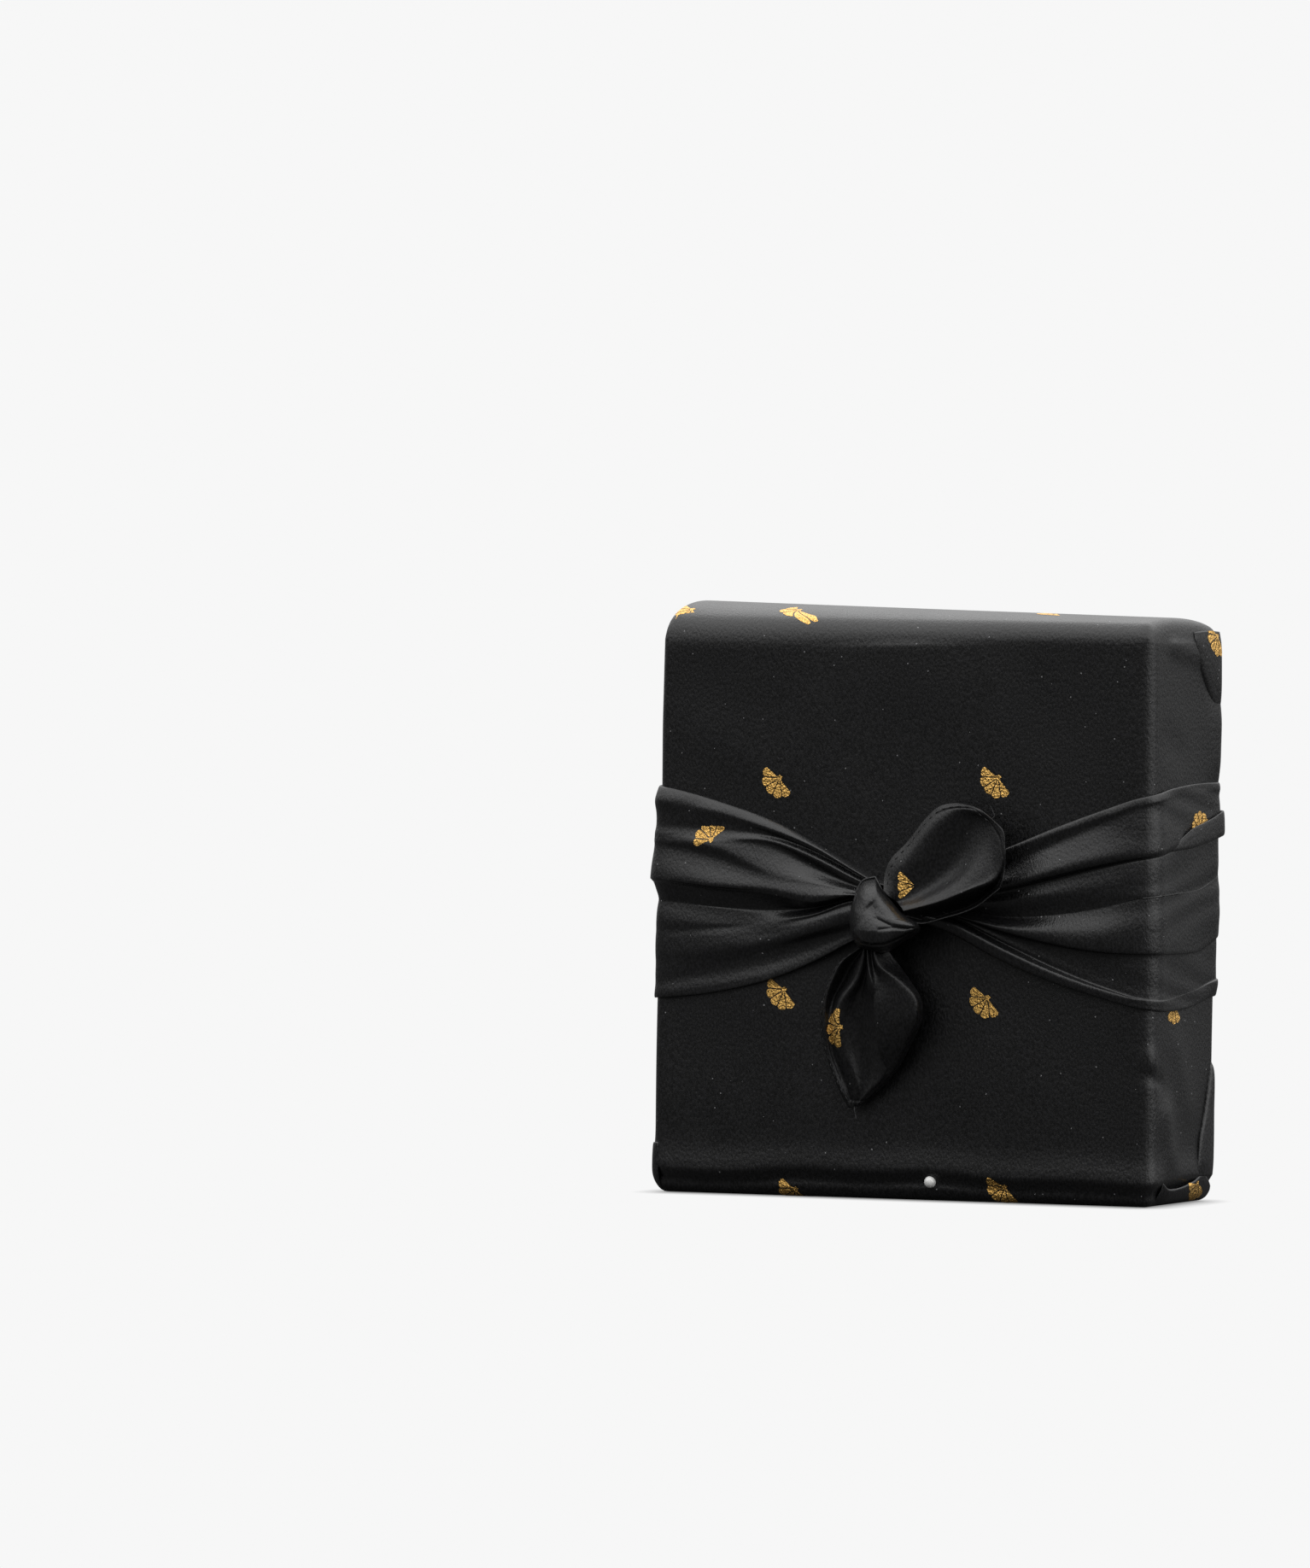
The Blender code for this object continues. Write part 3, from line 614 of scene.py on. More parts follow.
# Each track is one fold line. Its heights and lifts stand at runStops along the band. On the back it keeps a
# share of the band's width and a share of the band's lift.
leftBand = {
    "name": "tiedLeft", "side": -1, "cornerLift": 1.0, "start": 3.0, "end": 277.0,
    "runStops": (5, 14, 28, 43, 60, 82, 104, 124),
    "backStops": (124, 134, 170, 195, 205, 215, 228, 250, 278),
    "backLow": (54.5, 54.5, 60.0, 63.5, 63.0, 57.0, 47.0, 29.0, 9.0),
    "backHigh": (116.3, 116.0, 111.0, 106.5, 107.0, 113.0, 122.0, 138.0, 155.0),
    "backLift": (2.0, 2.8, 3.6, 4.4, 3.9, 2.2, 1.5, 1.2, 0.6),
    "flat": (0.27, 0.085), "area": 0.0205,
    # heights at the eight stops, lifts at the eight stops, and share across and share of lift on the back
    "tracks": (
        ((87.4, 91.8, 98.2, 104.9, 110.0, 114.9, 115.4, 115.3), (-0.6,) * 8, (0.97, -0.2)),
        ((88.6, 93.0, 99.8, 106.2, 111.4, 116.3, 116.7, 116.6),
         (5.6, 4.6, 2.9, 1.6, 0.9, 0.7, 0.7, 0.7), (1.0, 0.3)),
        ((88.0, 92.3, 98.8, 103.9, 108.7, 112.6, 113.4, 113.6),
         (8.4, 7.3, 5.0, 3.4, 2.5, 2.1, 1.6, 1.5), (0.95, 0.7)),
        ((87.4, 91.4, 97.4, 102.3, 106.0, 108.5, 109.0, 109.2),
         (7.6, 5.6, 3.0, 2.2, 2.1, 1.7, 1.3, 1.2), (0.9, 0.5)),
        ((87.0, 90.9, 96.8, 101.5, 103.4, 105.0, 105.6, 106.0),
         (7.6, 5.6, 3.0, 2.1, 1.9, 1.5, 1.3, 1.2), (0.87, 0.5)),
        ((86.4, 89.7, 95.3, 100.3, 101.2, 102.8, 103.2, 103.6),
         (8.2, 6.9, 4.3, 3.0, 2.7, 1.9, 1.5, 1.4), (0.82, 0.8)),
        ((85.8, 87.6, 92.2, 98.4, 100.0, 101.6, 102.0, 102.4),
         (7.4, 4.8, 2.2, 2.3, 3.2, 2.0, 1.5, 1.4), (0.8, 0.6)),
        ((85.0, 86.4, 88.8, 92.2, 97.8, 100.4, 100.8, 101.2),
         (8.0, 6.6, 4.6, 4.0, 3.6, 2.1, 1.6, 1.4), (0.76, 0.7)),
        ((84.8, 85.8, 87.6, 89.8, 94.8, 98.0, 98.4, 98.8),
         (8.3, 7.1, 5.1, 4.5, 2.9, 2.1, 1.6, 1.5), (0.72, 0.6)),
        ((84.5, 85.2, 84.8, 86.9, 88.0, 90.2, 90.6, 90.6),
         (9.0, 8.0, 6.2, 5.3, 4.8, 3.3, 2.0, 1.7), (0.6, 1.0)),
        ((84.4, 84.9, 83.0, 85.5, 86.7, 89.0, 89.6, 89.6),
         (8.8, 7.7, 5.9, 4.7, 4.0, 3.0, 1.8, 1.5), (0.57, 0.9)),
        ((84.3, 84.7, 82.4, 84.4, 85.6, 88.1, 88.8, 88.8),
         (8.0, 6.6, 4.8, 3.6, 2.9, 2.1, 1.4, 1.2), (0.55, 0.6)),
        ((84.2, 84.5, 82.0, 82.6, 83.4, 86.2, 87.0, 87.2),
         (7.2, 5.4, 3.0, 1.8, 1.5, 1.2, 0.9, 0.8), (0.52, 0.4)),
        ((84.1, 84.3, 81.6, 80.6, 81.2, 83.6, 84.2, 84.4),
         (6.8, 4.6, 1.3, 0.3, 0.3, 0.4, 0.5, 0.5), (0.48, 0.3)),
        ((83.9, 84.0, 81.0, 79.6, 80.4, 81.6, 82.2, 82.4),
         (7.0, 4.8, 1.5, 0.5, 0.4, 0.5, 0.6, 0.6), (0.46, 0.4)),
        ((83.4, 83.4, 79.4, 77.8, 76.6, 77.0, 77.4, 77.6),
         (8.3, 6.9, 4.6, 1.3, 1.0, 1.0, 0.9, 0.9), (0.38, 0.8)),
        ((82.6, 82.4, 78.6, 76.0, 75.0, 74.0, 74.4, 74.6),
         (8.1, 6.6, 4.4, 1.8, 1.0, 1.0, 0.9, 0.9), (0.34, 0.6)),
        ((80.8, 80.4, 77.0, 73.8, 72.6, 71.4, 71.6, 71.8),
         (8.6, 7.3, 5.0, 2.1, 1.5, 1.1, 1.0, 1.0), (0.28, 0.9)),
        ((79.0, 77.8, 74.4, 71.2, 68.8, 67.6, 67.8, 68.0),
         (8.3, 6.9, 4.8, 2.3, 1.7, 1.1, 1.0, 1.0), (0.22, 0.8)),
        ((78.0, 75.6, 72.6, 68.6, 65.4, 64.6, 64.8, 65.0),
         (7.4, 4.9, 2.1, 0.9, 0.8, 0.9, 0.8, 0.8), (0.17, 0.4)),
        ((76.4, 74.4, 70.2, 65.4, 61.8, 60.6, 60.6, 60.6),
         (7.2, 4.6, 1.7, 0.6, 0.6, 0.8, 0.8, 0.8), (0.1, 0.4)),
        ((75.4, 73.2, 67.6, 62.2, 58.4, 56.4, 56.4, 56.4),
         (6.6, 4.6, 2.1, 1.2, 1.0, 1.0, 0.9, 0.9), (0.04, 0.5)),
        ((74.6, 72.4, 66.3, 60.7, 56.8, 54.4, 54.4, 54.4),
         (5.4, 4.0, 1.9, 1.1, 0.9, 0.8, 0.8, 0.8), (0.0, 0.3)),
        ((76.0, 74.0, 67.6, 61.9, 58.1, 55.8, 55.6, 55.6), (-0.6,) * 8, (0.03, -0.2)),
    ),
}
rightBand = {
    "name": "tiedRight", "side": 1, "cornerLift": 1.0, "start": 3.0, "end": 271.0,
    "runStops": (5, 15, 31, 47, 63, 76, 98, 118),
    "backStops": (118, 128, 165, 189, 199, 209, 222, 245, 272),
    "backLow": (56.4, 56.0, 61.0, 63.0, 62.5, 56.0, 46.0, 27.0, 9.0),
    "backHigh": (117.4, 117.0, 112.0, 107.5, 108.0, 114.0, 123.0, 140.0, 155.0),
    "backLift": (2.0, 2.8, 3.6, 4.4, 3.9, 2.2, 1.5, 1.2, 0.6),
    "flat": (0.27, 0.085), "area": 0.0200,
    "tracks": (
        ((87.0, 91.0, 96.6, 102.8, 108.2, 112.0, 115.2, 116.0), (-0.6,) * 8, (0.97, -0.2)),
        ((88.4, 92.4, 98.0, 104.2, 109.6, 113.5, 116.6, 117.4),
         (5.4, 3.9, 2.4, 1.6, 1.1, 0.8, 0.8, 0.8), (1.0, 0.3)),
        ((87.8, 91.6, 96.9, 102.7, 107.7, 111.7, 115.0, 116.0),
         (7.4, 5.7, 3.6, 2.5, 1.8, 1.4, 1, 1), (0.97, 0.7)),
        ((86.6, 89.6, 93.4, 99.6, 105.4, 109.8, 112.6, 113.6),
         (6.9, 4.9, 2.8, 1.9, 1.5, 1.2, 1.05, 1), (0.93, 0.5)),
        ((85.6, 87.8, 90.6, 96.0, 100.6, 104.0, 107.6, 109.2),
         (7.8, 6.2, 4.0, 3.1, 2.5, 1.6, 1.2, 1.1), (0.88, 0.7)),
        ((84.4, 85.8, 88.3, 92.3, 96.3, 98.6, 102.4, 104.8),
         (8.8, 7.7, 5.6, 4.4, 3.6, 2.1, 1.45, 1.4), (0.83, 0.9)),
        ((83.9, 84.8, 87.0, 90.7, 94.3, 96.8, 100.5, 102.9),
         (8.5, 7.2, 5.0, 4.0, 3.2, 1.9, 1.4, 1.4), (0.81, 0.9)),
        ((83.6, 84.3, 86.2, 89.8, 93.4, 95.9, 99.6, 102.0),
         (7.3, 5.4, 2.9, 2.0, 1.6, 1.05, 1, 0.9), (0.79, 0.5)),
        ((83.2, 83.6, 85.0, 88.4, 92.0, 94.6, 98.2, 100.4),
         (7.1, 5.1, 2.6, 1.9, 1.6, 1.1, 1, 0.9), (0.77, 0.4)),
        ((82.8, 82.6, 83.3, 84.8, 86.3, 87.0, 89.0, 90.6),
         (7.3, 5.3, 3.0, 2.3, 1.9, 1.3, 1, 0.95), (0.66, 0.5)),
        ((82.5, 81.6, 79.8, 80.7, 82.8, 85.0, 86.4, 87.8),
         (6.7, 4.1, 1.2, 0.9, 1.1, 1.2, 1.05, 0.95), (0.6, 0.5)),
        ((82.3, 81.2, 78.6, 79.1, 81.2, 84.2, 85.4, 86.8),
         (6.7, 4.1, 1.2, 0.9, 1.2, 1.25, 1.1, 1), (0.57, 0.6)),
        ((81.9, 80.5, 76.8, 75.5, 75.3, 76.6, 77.6, 78.6),
         (8.0, 6.7, 4.2, 3.1, 3.0, 1.8, 1.2, 1.1), (0.46, 0.9)),
        ((81.5, 80.1, 75.4, 72.0, 69.9, 69.6, 69.6, 70.6),
         (7.8, 6.4, 4.0, 3.0, 2.8, 1.8, 1.25, 1.15), (0.32, 0.8)),
        ((81.3, 79.9, 74.8, 71.2, 69.1, 68.9, 68.8, 70.0),
         (6.4, 4.2, 1.5, 0.8, 1.0, 1.1, 0.95, 0.9), (0.3, 0.4)),
        ((81.0, 79.6, 73.8, 69.4, 66.8, 66.4, 66.6, 68.2),
         (6.1, 3.7, 0.6, 0.2, 0.5, 0.9, 0.9, 0.85), (0.26, 0.4)),
        ((80.8, 79.3, 72.4, 66.2, 61.2, 58.6, 60.0, 62.4),
         (6.1, 3.7, 0.6, 0.2, 0.5, 0.9, 0.9, 0.85), (0.14, 0.4)),
        ((80.5, 78.8, 71.3, 64.5, 59.3, 56.4, 57.8, 60.6),
         (6.1, 3.7, 0.6, 0.25, 0.55, 0.9, 0.9, 0.85), (0.09, 0.4)),
        ((80.3, 78.4, 70.8, 64.0, 58.8, 55.8, 57.2, 60.0),
         (7.8, 6.5, 4.0, 2.6, 1.8, 1.2, 0.95, 0.9), (0.08, 0.8)),
        ((79.6, 76.8, 69.0, 62.2, 57.2, 54.6, 55.0, 58.2),
         (8.0, 6.6, 4.1, 2.7, 1.9, 1.2, 0.95, 0.9), (0.04, 0.8)),
        ((78.2, 74.8, 66.8, 60.8, 56.3, 53.3, 53.2, 56.4),
         (6.4, 4.8, 3.0, 2.0, 1.4, 1, 0.8, 0.8), (0.0, 0.3)),
        ((79.4, 76.0, 68.4, 62.3, 57.7, 54.8, 54.4, 57.6), (-0.6,) * 8, (0.03, -0.2)),
    ),
}
knotMiddle = 3.0  # x from which both bands run

bandMesh = {
    "fineTo": 130, "fineSteps": 200, "backSteps": 90, "perTrack": 6,  # its columns are closer up to fineTo
    "backEarly": 6, "backLate": 8,  # how far past its last two stops a band takes up its form on the back
    "ripple": 0.08, "rippleRun": 5.3, "rippleBend": 9, "rippleRise": 9, "rippleFrom": (20, 45),
    # the parcel's upright edges, where a band stands off by its cornerLift
    "cornerArcs": (79.1, 122.4, 281.0, 324.3), "cornerWidth": 5.0,
    "soften": 5,
}


def softenColumns(grid, reach):
    # Each point becomes the bell-weighted mean of its neighbours along the row.
    steps = np.arange(-2 * reach, 2 * reach + 1)
    weights = np.exp(-((steps / reach) ** 2))
    padded = np.pad(grid, ((0, 0), (2 * reach, 2 * reach), (0, 0)), mode="reflect", reflect_type="odd")
    shifted = [padded[:, 2 * reach + s : padded.shape[1] - 2 * reach + s] * w for s, w in zip(steps, weights)]
    return sum(shifted) / weights.sum()


def bandGrid(band):
    # At each run along the band, its tracks' heights and lifts are joined across by one smooth curve, so
    # that a track which lies behind its neighbour gives a fold that overhangs.
    fine = np.linspace(band["start"], bandMesh["fineTo"], bandMesh["fineSteps"])[:-1]
    runs = np.concatenate((fine, np.linspace(bandMesh["fineTo"], band["end"], bandMesh["backSteps"])))
    heights = np.stack([smoothCurve(runs, band["runStops"], track[0]) for track in band["tracks"]])
    lifts = np.stack([smoothCurve(runs, band["runStops"], track[1]) for track in band["tracks"]])
    share = np.array([track[2][0] for track in band["tracks"]])[:, None]
    full = np.array([track[2][1] for track in band["tracks"]])[:, None]
    low = smoothCurve(runs, band["backStops"], band["backLow"])
    high = smoothCurve(runs, band["backStops"], band["backHigh"])
    early, late = band["runStops"][-2] + bandMesh["backEarly"], band["runStops"][-1] + bandMesh["backLate"]
    onBack = softStep(runs, early, late)
    heights += (low + (high - low) * share - heights) * onBack
    lifts += (smoothCurve(runs, band["backStops"], band["backLift"]) * full - lifts) * onBack
    tracks = len(band["tracks"])
    across = np.linspace(0, tracks - 1, (tracks - 1) * bandMesh["perTrack"] + 1)
    z = smoothCurve(across, np.arange(tracks), heights)
    lift = smoothCurve(across, np.arange(tracks), lifts)
    phase = runs / bandMesh["rippleRun"] + bandMesh["rippleBend"] * np.sin(z / bandMesh["rippleRise"])
    ripple = bandMesh["ripple"] * np.sin(phase) * softStep(runs, *bandMesh["rippleFrom"])
    arc = knotMiddle + band["side"] * np.broadcast_to(runs, z.shape)
    corners = np.array(bandMesh["cornerArcs"]) * band["side"]
    edge = sum(np.exp(-(((arc - corner) / bandMesh["cornerWidth"]) ** 2)) for corner in corners)
    wall = onWall(arc, z, lift + ripple + band["cornerLift"] * edge)
    return faceOutwards(softenColumns(wall, bandMesh["soften"]))


bandSurface = {}
for band in (leftBand, rightBand):
    grid = bandGrid(band)
    bandSurface[band["name"]] = grid
    piece = clothPiece(band["name"], grid, satinCloth)
    print(band["name"], grid.shape)

flapSurface = {}
for name, flap in flaps.items():
    flapSurface[name] = faceOutwards(flapGrid(flap["rows"]))
    piece = clothPiece(name, flapSurface[name], satinCloth)
print("flaps")

# The roll where the two bands turn about each other on the back
crossing = {
    # middle of the roll, half width and half thickness
    "rings": (
        (9, 23.6, 112, 2.0, 1.2), (7, 25.6, 106, 5.0, 2.0), (3, 26.8, 96, 7.5, 2.6), (-1, 27.2, 85, 8.0, 2.8),
        (-4.5, 26.8, 74, 7.0, 2.6), (-8, 25.6, 64, 5.0, 2.0), (-10, 23.6, 58, 2.0, 1.2),
    ),
    "along": 90, "around": 96, "endPower": 0.35,
    "pleats": 7, "pleatDepth": 0.09, "pleatTwist": 0.5, "finePleats": 15, "fineDepth": 0.04,
}


def crossingGrid():
    # Rings of an ellipse along a slanting line, with shallow pleats along its length.
    rings = crossing["rings"]
    at = np.linspace(0, len(rings) - 1, crossing["along"])
    x, y, z, wide, thick = smoothCurve(at, np.arange(len(rings)), rings).T[:, :, None]
    turn = np.linspace(0, 2 * math.pi, crossing["around"] + 1)[:-1][None, :]
    swell = np.sin(np.linspace(0, math.pi, crossing["along"]))[:, None] ** crossing["endPower"]
    twisted = crossing["pleats"] * turn + crossing["pleatTwist"] * at[:, None]
    pleat = 1 + crossing["pleatDepth"] * np.cos(twisted)
    pleat = pleat + crossing["fineDepth"] * np.cos(crossing["finePleats"] * turn)
    wide, thick = wide * swell * pleat, thick * swell * pleat
    return np.stack((x - wide * np.cos(turn), y + thick * np.sin(turn), z + 0 * turn), -1)


crossingSurface = crossingGrid()
piece = clothPiece("backCrossing", crossingSurface, satinCloth, closed=True)
print("backCrossing")

# The knot
knot = {
    "outline": (
        (-0.2, 90.3), (-3.8, 89.4), (-5.8, 87.1), (-6.6, 84.7), (-7.8, 81.0), (-8.1, 77.4),
        (-7.5, 73.7), (-5.5, 70.8), (-1.6, 69.5), (3.1, 69.0), (6.1, 70.4), (9.6, 72.6),
        (13.8, 75.0), (13.6, 76.8), (11.4, 78.0), (8.0, 80.1), (5.3, 82.8), (2.5, 86.0),
    ),
    "centre": (-0.2, 78.8), "seenPlane": -36, "camSlope": 0.57,  # the outline's plane and the sight line
    "rootY": -23, "rimY": -30.5, "rise": 9.5, "leanFrom": 75, "lean": 0.31,
    "around": 240, "rings": 73, "sizePower": 0.62, "risePower": 0.8, "foldGrowth": 3, "leanGrowth": 4,
    "foldFade": (-0.6, 0.9), "foldStep": (-0.45, 0.6),  # across a fold line's ends, and across its step
    # Fold lines run rightwards: the groove's width and depth, then the upper layer's height and reach.
    "folds": (
        (((-2.2, 82.6), (-0.9, 81.2), (1.0, 79.4), (5.3, 77.0)), 2.2, 0.6, 0.0, 1.0),
        (((-0.6, 78.9), (3.9, 77.0), (8.0, 76.3), (12.7, 76.1)), 0.7, 0.3, 0.5, 2.6),
        (((0.2, 75.4), (5.3, 76.0), (9.4, 75.8), (13.2, 76.4)), 0.5, 0.3, 0.3, 1.6),
        (((-7.6, 74.4), (-4.9, 71.9), (-1.6, 71.3), (2.5, 71.6), (6.6, 73.1), (9.9, 74.6), (14.2, 76.0)),
         0.45, 0.5, 1.0, 2.4),
        (((-5.1, 70.8), (-1.1, 70.2), (3.1, 70.3), (6.6, 71.8), (9.9, 73.7)), 0.35, 0.3, 0.6, 1.2),
        (((-6.6, 86.4), (-5.6, 83.6), (-5.9, 80.6)), 0.9, 0.2, 0.0, 1.0),
    ),
}


def foldRelief(x, z, folds):
    # Along each line a bell-shaped groove, and on its left a layer that steps up and then sinks slowly back.
    total = np.zeros(x.shape)
    for line, width, depth, height, reach in folds:
        best = np.full(x.shape, 1e6)
        side, ends = np.zeros(x.shape), np.zeros(x.shape)
        for k, ((startX, startZ), (endX, endZ)) in enumerate(zip(line[:-1], line[1:])):
            dx, dz = endX - startX, endZ - startZ
            span = math.hypot(dx, dz)
            raw = ((x - startX) * dx + (z - startZ) * dz) / span
            along = np.clip(raw, 0, span)
            away = np.hypot(x - startX - along * dx / span, z - startZ - along * dz / span)
            cross = ((z - startZ) * dx - (x - startX) * dz) / span
            near = away < best
            best = np.where(near, away, best)
            side = np.where(near, np.sign(cross) * away, side)
            fade = softStep(raw, *knot["foldFade"]) if k == 0 else 1.0
            fade = fade * (softStep(span - raw, *knot["foldFade"]) if k == len(line) - 2 else 1.0)
            ends = np.where(near, fade, ends)
        layer = height * np.exp(-np.clip(side, 0, None) / reach) * softStep(side, *knot["foldStep"])
        total = total + ends * (depth * np.exp(-((best / width) ** 2)) - layer)
    return total


def knotGrid():
    # A mound over its outline: rings shrink to the middle while the rise follows a dome, less the folds,
    # which grow in from the rim. It is sheared sideways with depth, along the camera's line of sight, so that
    # its outline is seen as drawn.
    outline = np.array(knot["outline"] + knot["outline"][:1])
    turns = np.linspace(0, len(outline) - 1, knot["around"] + 1)[:-1]
    rim = smoothCurve(turns, np.arange(len(outline)), outline)
    centre = np.array(knot["centre"])
    rows = [np.column_stack((rim[:, 0], np.full(len(rim), knot["rootY"]), rim[:, 1]))]
    for share in np.linspace(0, 1, knot["rings"] + 1)[:-1]:
        size = math.cos(share * math.pi / 2) ** knot["sizePower"]
        ring = centre + (rim - centre) * size
        y = knot["rimY"] - knot["rise"] * math.sin(share * math.pi / 2) ** knot["risePower"]
        y = y + foldRelief(ring[:, 0], ring[:, 1], knot["folds"]) * min(1, knot["foldGrowth"] * share)
        lean = knot["lean"] * np.clip(ring[:, 1] - knot["leanFrom"], 0, None)
        y = y + lean * min(1, knot["leanGrowth"] * share)
        rows.append(np.column_stack((ring[:, 0], y, ring[:, 1])))
    tip = foldRelief(centre[:1], centre[1:], knot["folds"])[0] + knot["rimY"] - knot["rise"]
    tip += knot["lean"] * max(centre[1] - knot["leanFrom"], 0)
    rows.append(np.tile((centre[0], tip, centre[1]), (len(rim), 1)))
    grid = np.stack(rows)
    grid[..., 0] -= (grid[..., 1] - knot["seenPlane"]) * knot["camSlope"]
    return grid[:, ::-1]


knotSurface = knotGrid()
knotPiece = clothPiece("knotWrap", knotSurface, satinCloth, closed=True)
print("knotWrap")

# The two free tails

# Each row runs across a tail, and the rows follow each other from the knot to the corner of the cloth.
upperTail = {
    # free edge, lit back, hollow, lit front, lip, recess under the lip, edge of the layer below
    "rows": (
        ((0.7, -33.0, 86.4), (2.3, -33.0, 84.8), (3.9, -31.7, 83.4), (6.1, -33.5, 82.2),
         (7.9, -34.4, 80.6), (7.6, -32.2, 79.4), (9.1, -34.0, 77.9)),
        ((-0.1, -31.0, 90.8), (3.7, -32.2, 88.4), (7.9, -31.1, 85.2), (11.7, -33.4, 84.0),
         (13.4, -34.6, 81.6), (11.9, -29.4, 78.3), (13.8, -34.0, 77.3)),
        ((1.3, -30.0, 95.4), (7.0, -32.2, 93.0), (13.4, -29.8, 88.9), (17.9, -33.0, 87.2),
         (20.1, -34.6, 83.3), (17.8, -28.6, 79.7), (19.6, -33.9, 78.7)),
        ((6.3, -29.0, 100.5), (10.7, -31.8, 97.7), (18.4, -28.9, 93.5), (24.2, -32.8, 91.0),
         (26.5, -34.5, 85.6), (24.1, -28.2, 81.5), (26.4, -33.9, 80.5)),
        ((10.9, -28.5, 106.2), (14.2, -31.4, 102.3), (21.8, -28.6, 98.6), (28.0, -32.7, 95.1),
         (31.3, -34.3, 87.3), (28.8, -28.4, 83.6), (31.5, -33.9, 82.6)),
        ((15.6, -28.5, 110.1), (18.6, -31.0, 106.7), (24.5, -28.8, 103.8), (31.4, -32.4, 99.5),
         (34.9, -33.9, 88.6), (32.8, -29.2, 86.3), (35.2, -33.8, 85.3)),
        ((21.6, -29.0, 111.3), (23.7, -30.6, 109.6), (27.6, -29.4, 107.4), (33.7, -32.1, 103.1),
         (37.5, -33.2, 91.1), (36.5, -31.4, 88.1), (38.1, -33.6, 87.5)),
        ((28.1, -30.0, 110.3), (32.0, -31.2, 108.9), (35.0, -31.7, 106.7), (38.8, -32.7, 104.8),
         (40.0, -33.4, 97.6), (39.6, -33.0, 92.8), (39.5, -33.8, 89.4)),
    ),
    # how tightly the lip is rolled: shares of the way to the next line, and the brow's depth behind the lip
    "roll": {"hollow": 0.30, "front": 0.34, "brow": 0.72, "behind": 0.12, "endShare": 0.5},
    "along": 130, "across": 120, "hemWidth": 2.0, "hemRise": 0.3,
    "hemFrom": 4.4,  # the row where its hem starts
}
lowerTail = {
    # left edge, rolled hem, hollow, inner strip, valley, middle fold, puckers, turned line, right edge
    "rows": (
        ((-8.1, -31.0, 69.9), (-7.4, -32.5, 69.9), (-6.8, -31.0, 69.7),
         (-5.6, -33.0, 69.7), (-5.1, -32.0, 69.5), (-4.1, -34.0, 69.5),
         (-3.5, -32.5, 69.3), (-2.1, -33.0, 69.3), (0.7, -30.0, 69.3)),
        ((-15.6, -29.5, 65.4), (-13.4, -31.5, 66.0), (-12.0, -28.0, 65.4),
         (-6.8, -32.5, 65.6), (-5.6, -31.0, 65.1), (-3.6, -34.5, 65.2),
         (-2.9, -32.5, 64.7), (0.1, -34.0, 65.0), (3.2, -28.5, 65.6)),
        ((-19.2, -28.5, 59.9), (-16.8, -31.0, 60.8), (-15.3, -27.0, 60.5),
         (-9.0, -32.0, 60.4), (-7.4, -29.5, 59.6), (-2.6, -34.5, 59.8),
         (-1.1, -33.0, 59.8), (5.9, -33.5, 60.9), (6.8, -27.5, 60.3)),
        ((-21.6, -28.0, 54.0), (-19.4, -30.5, 55.1), (-18.1, -27.5, 55.5),
         (-13.7, -31.5, 54.7), (-10.1, -28.6, 53.9), (-2.9, -31.4, 54.5),
         (-1.6, -33.6, 54.5), (9.6, -32.6, 55.8), (10.6, -28.2, 55.2)),
        ((-22.7, -27.5, 48.1), (-20.4, -30.0, 47.9), (-19.0, -28.8, 47.9),
         (-15.5, -30.8, 47.8), (-10.4, -27.8, 47.3), (-2.7, -30.4, 47.9),
         (-1.3, -33.0, 48.1), (8.9, -32.0, 48.7), (10.3, -28.0, 49.1)),
        ((-21.4, -27.0, 40.7), (-19.8, -28.6, 40.6), (-18.6, -27.4, 40.3),
         (-14.5, -29.4, 41.2), (-9.9, -27.2, 40.7), (-2.7, -29.6, 40.7),
         (-1.5, -31.6, 41.0), (5.0, -30.4, 41.8), (6.3, -27.4, 41.7)),
        ((-19.2, -26.5, 33.9), (-17.6, -27.8, 33.7), (-16.3, -26.6, 33.7),
         (-12.0, -28.4, 34.6), (-9.3, -26.8, 34.1), (-1.9, -29.0, 33.8),
         (-0.5, -28.4, 34.1), (0.6, -27.6, 34.3), (1.4, -26.2, 34.8)),
        ((-16.6, -26.0, 27.8), (-15.2, -27.0, 27.8), (-14.0, -26.2, 28.1),
         (-11.2, -27.4, 29.2), (-9.8, -26.6, 28.2), (-8.3, -27.3, 27.8),
         (-7.2, -26.9, 27.8), (-6.2, -26.6, 28.0), (-5.2, -25.8, 28.5)),
        ((-14.6, -25.6, 24.3), (-14.1, -25.9, 23.9), (-13.5, -25.7, 23.9),
         (-12.9, -26.0, 23.9), (-12.3, -25.8, 24.2), (-11.8, -26.0, 24.4),
         (-11.3, -25.8, 24.7), (-10.9, -25.8, 24.9), (-10.4, -25.5, 25.2)),
    ),
    "along": 130, "across": 130, "hemWidth": 1.9, "hemRise": 0.25, "hemFrom": 0.4,
}

tailMesh = {
    "softenAlong": 4, "softenAcross": 3, "hemEdge": 0.2,
    "seamDepth": 0.4,  # of the hem's rise
    "seamFrom": 0.35, "seamWidth": 0.3,  # the groove beside the hem
}


def rolledLip(table, roll):
    # Seen from the front, the hollow moves towards the lit front and the front towards the lip, by less in
    # the first and last rows. A brow is added close above the lip and a little behind it.
    share = np.ones((len(table), 1))
    share[[0, -1]] = roll["endShare"]
    hollow, front, lip = table[:, 2], table[:, 3], table[:, 4]
    across = np.array((1, 0, 1))
    hollow = hollow + roll["hollow"] * share * (front - hollow) * across
    front = front + roll["front"] * share * (lip - front) * across
    brow = front + roll["brow"] * (lip - front)
    brow[:, 1] = lip[:, 1] + roll["behind"]
    return np.concatenate((table[:, :2], np.stack((hollow, front, brow), 1), table[:, 4:]), 1)


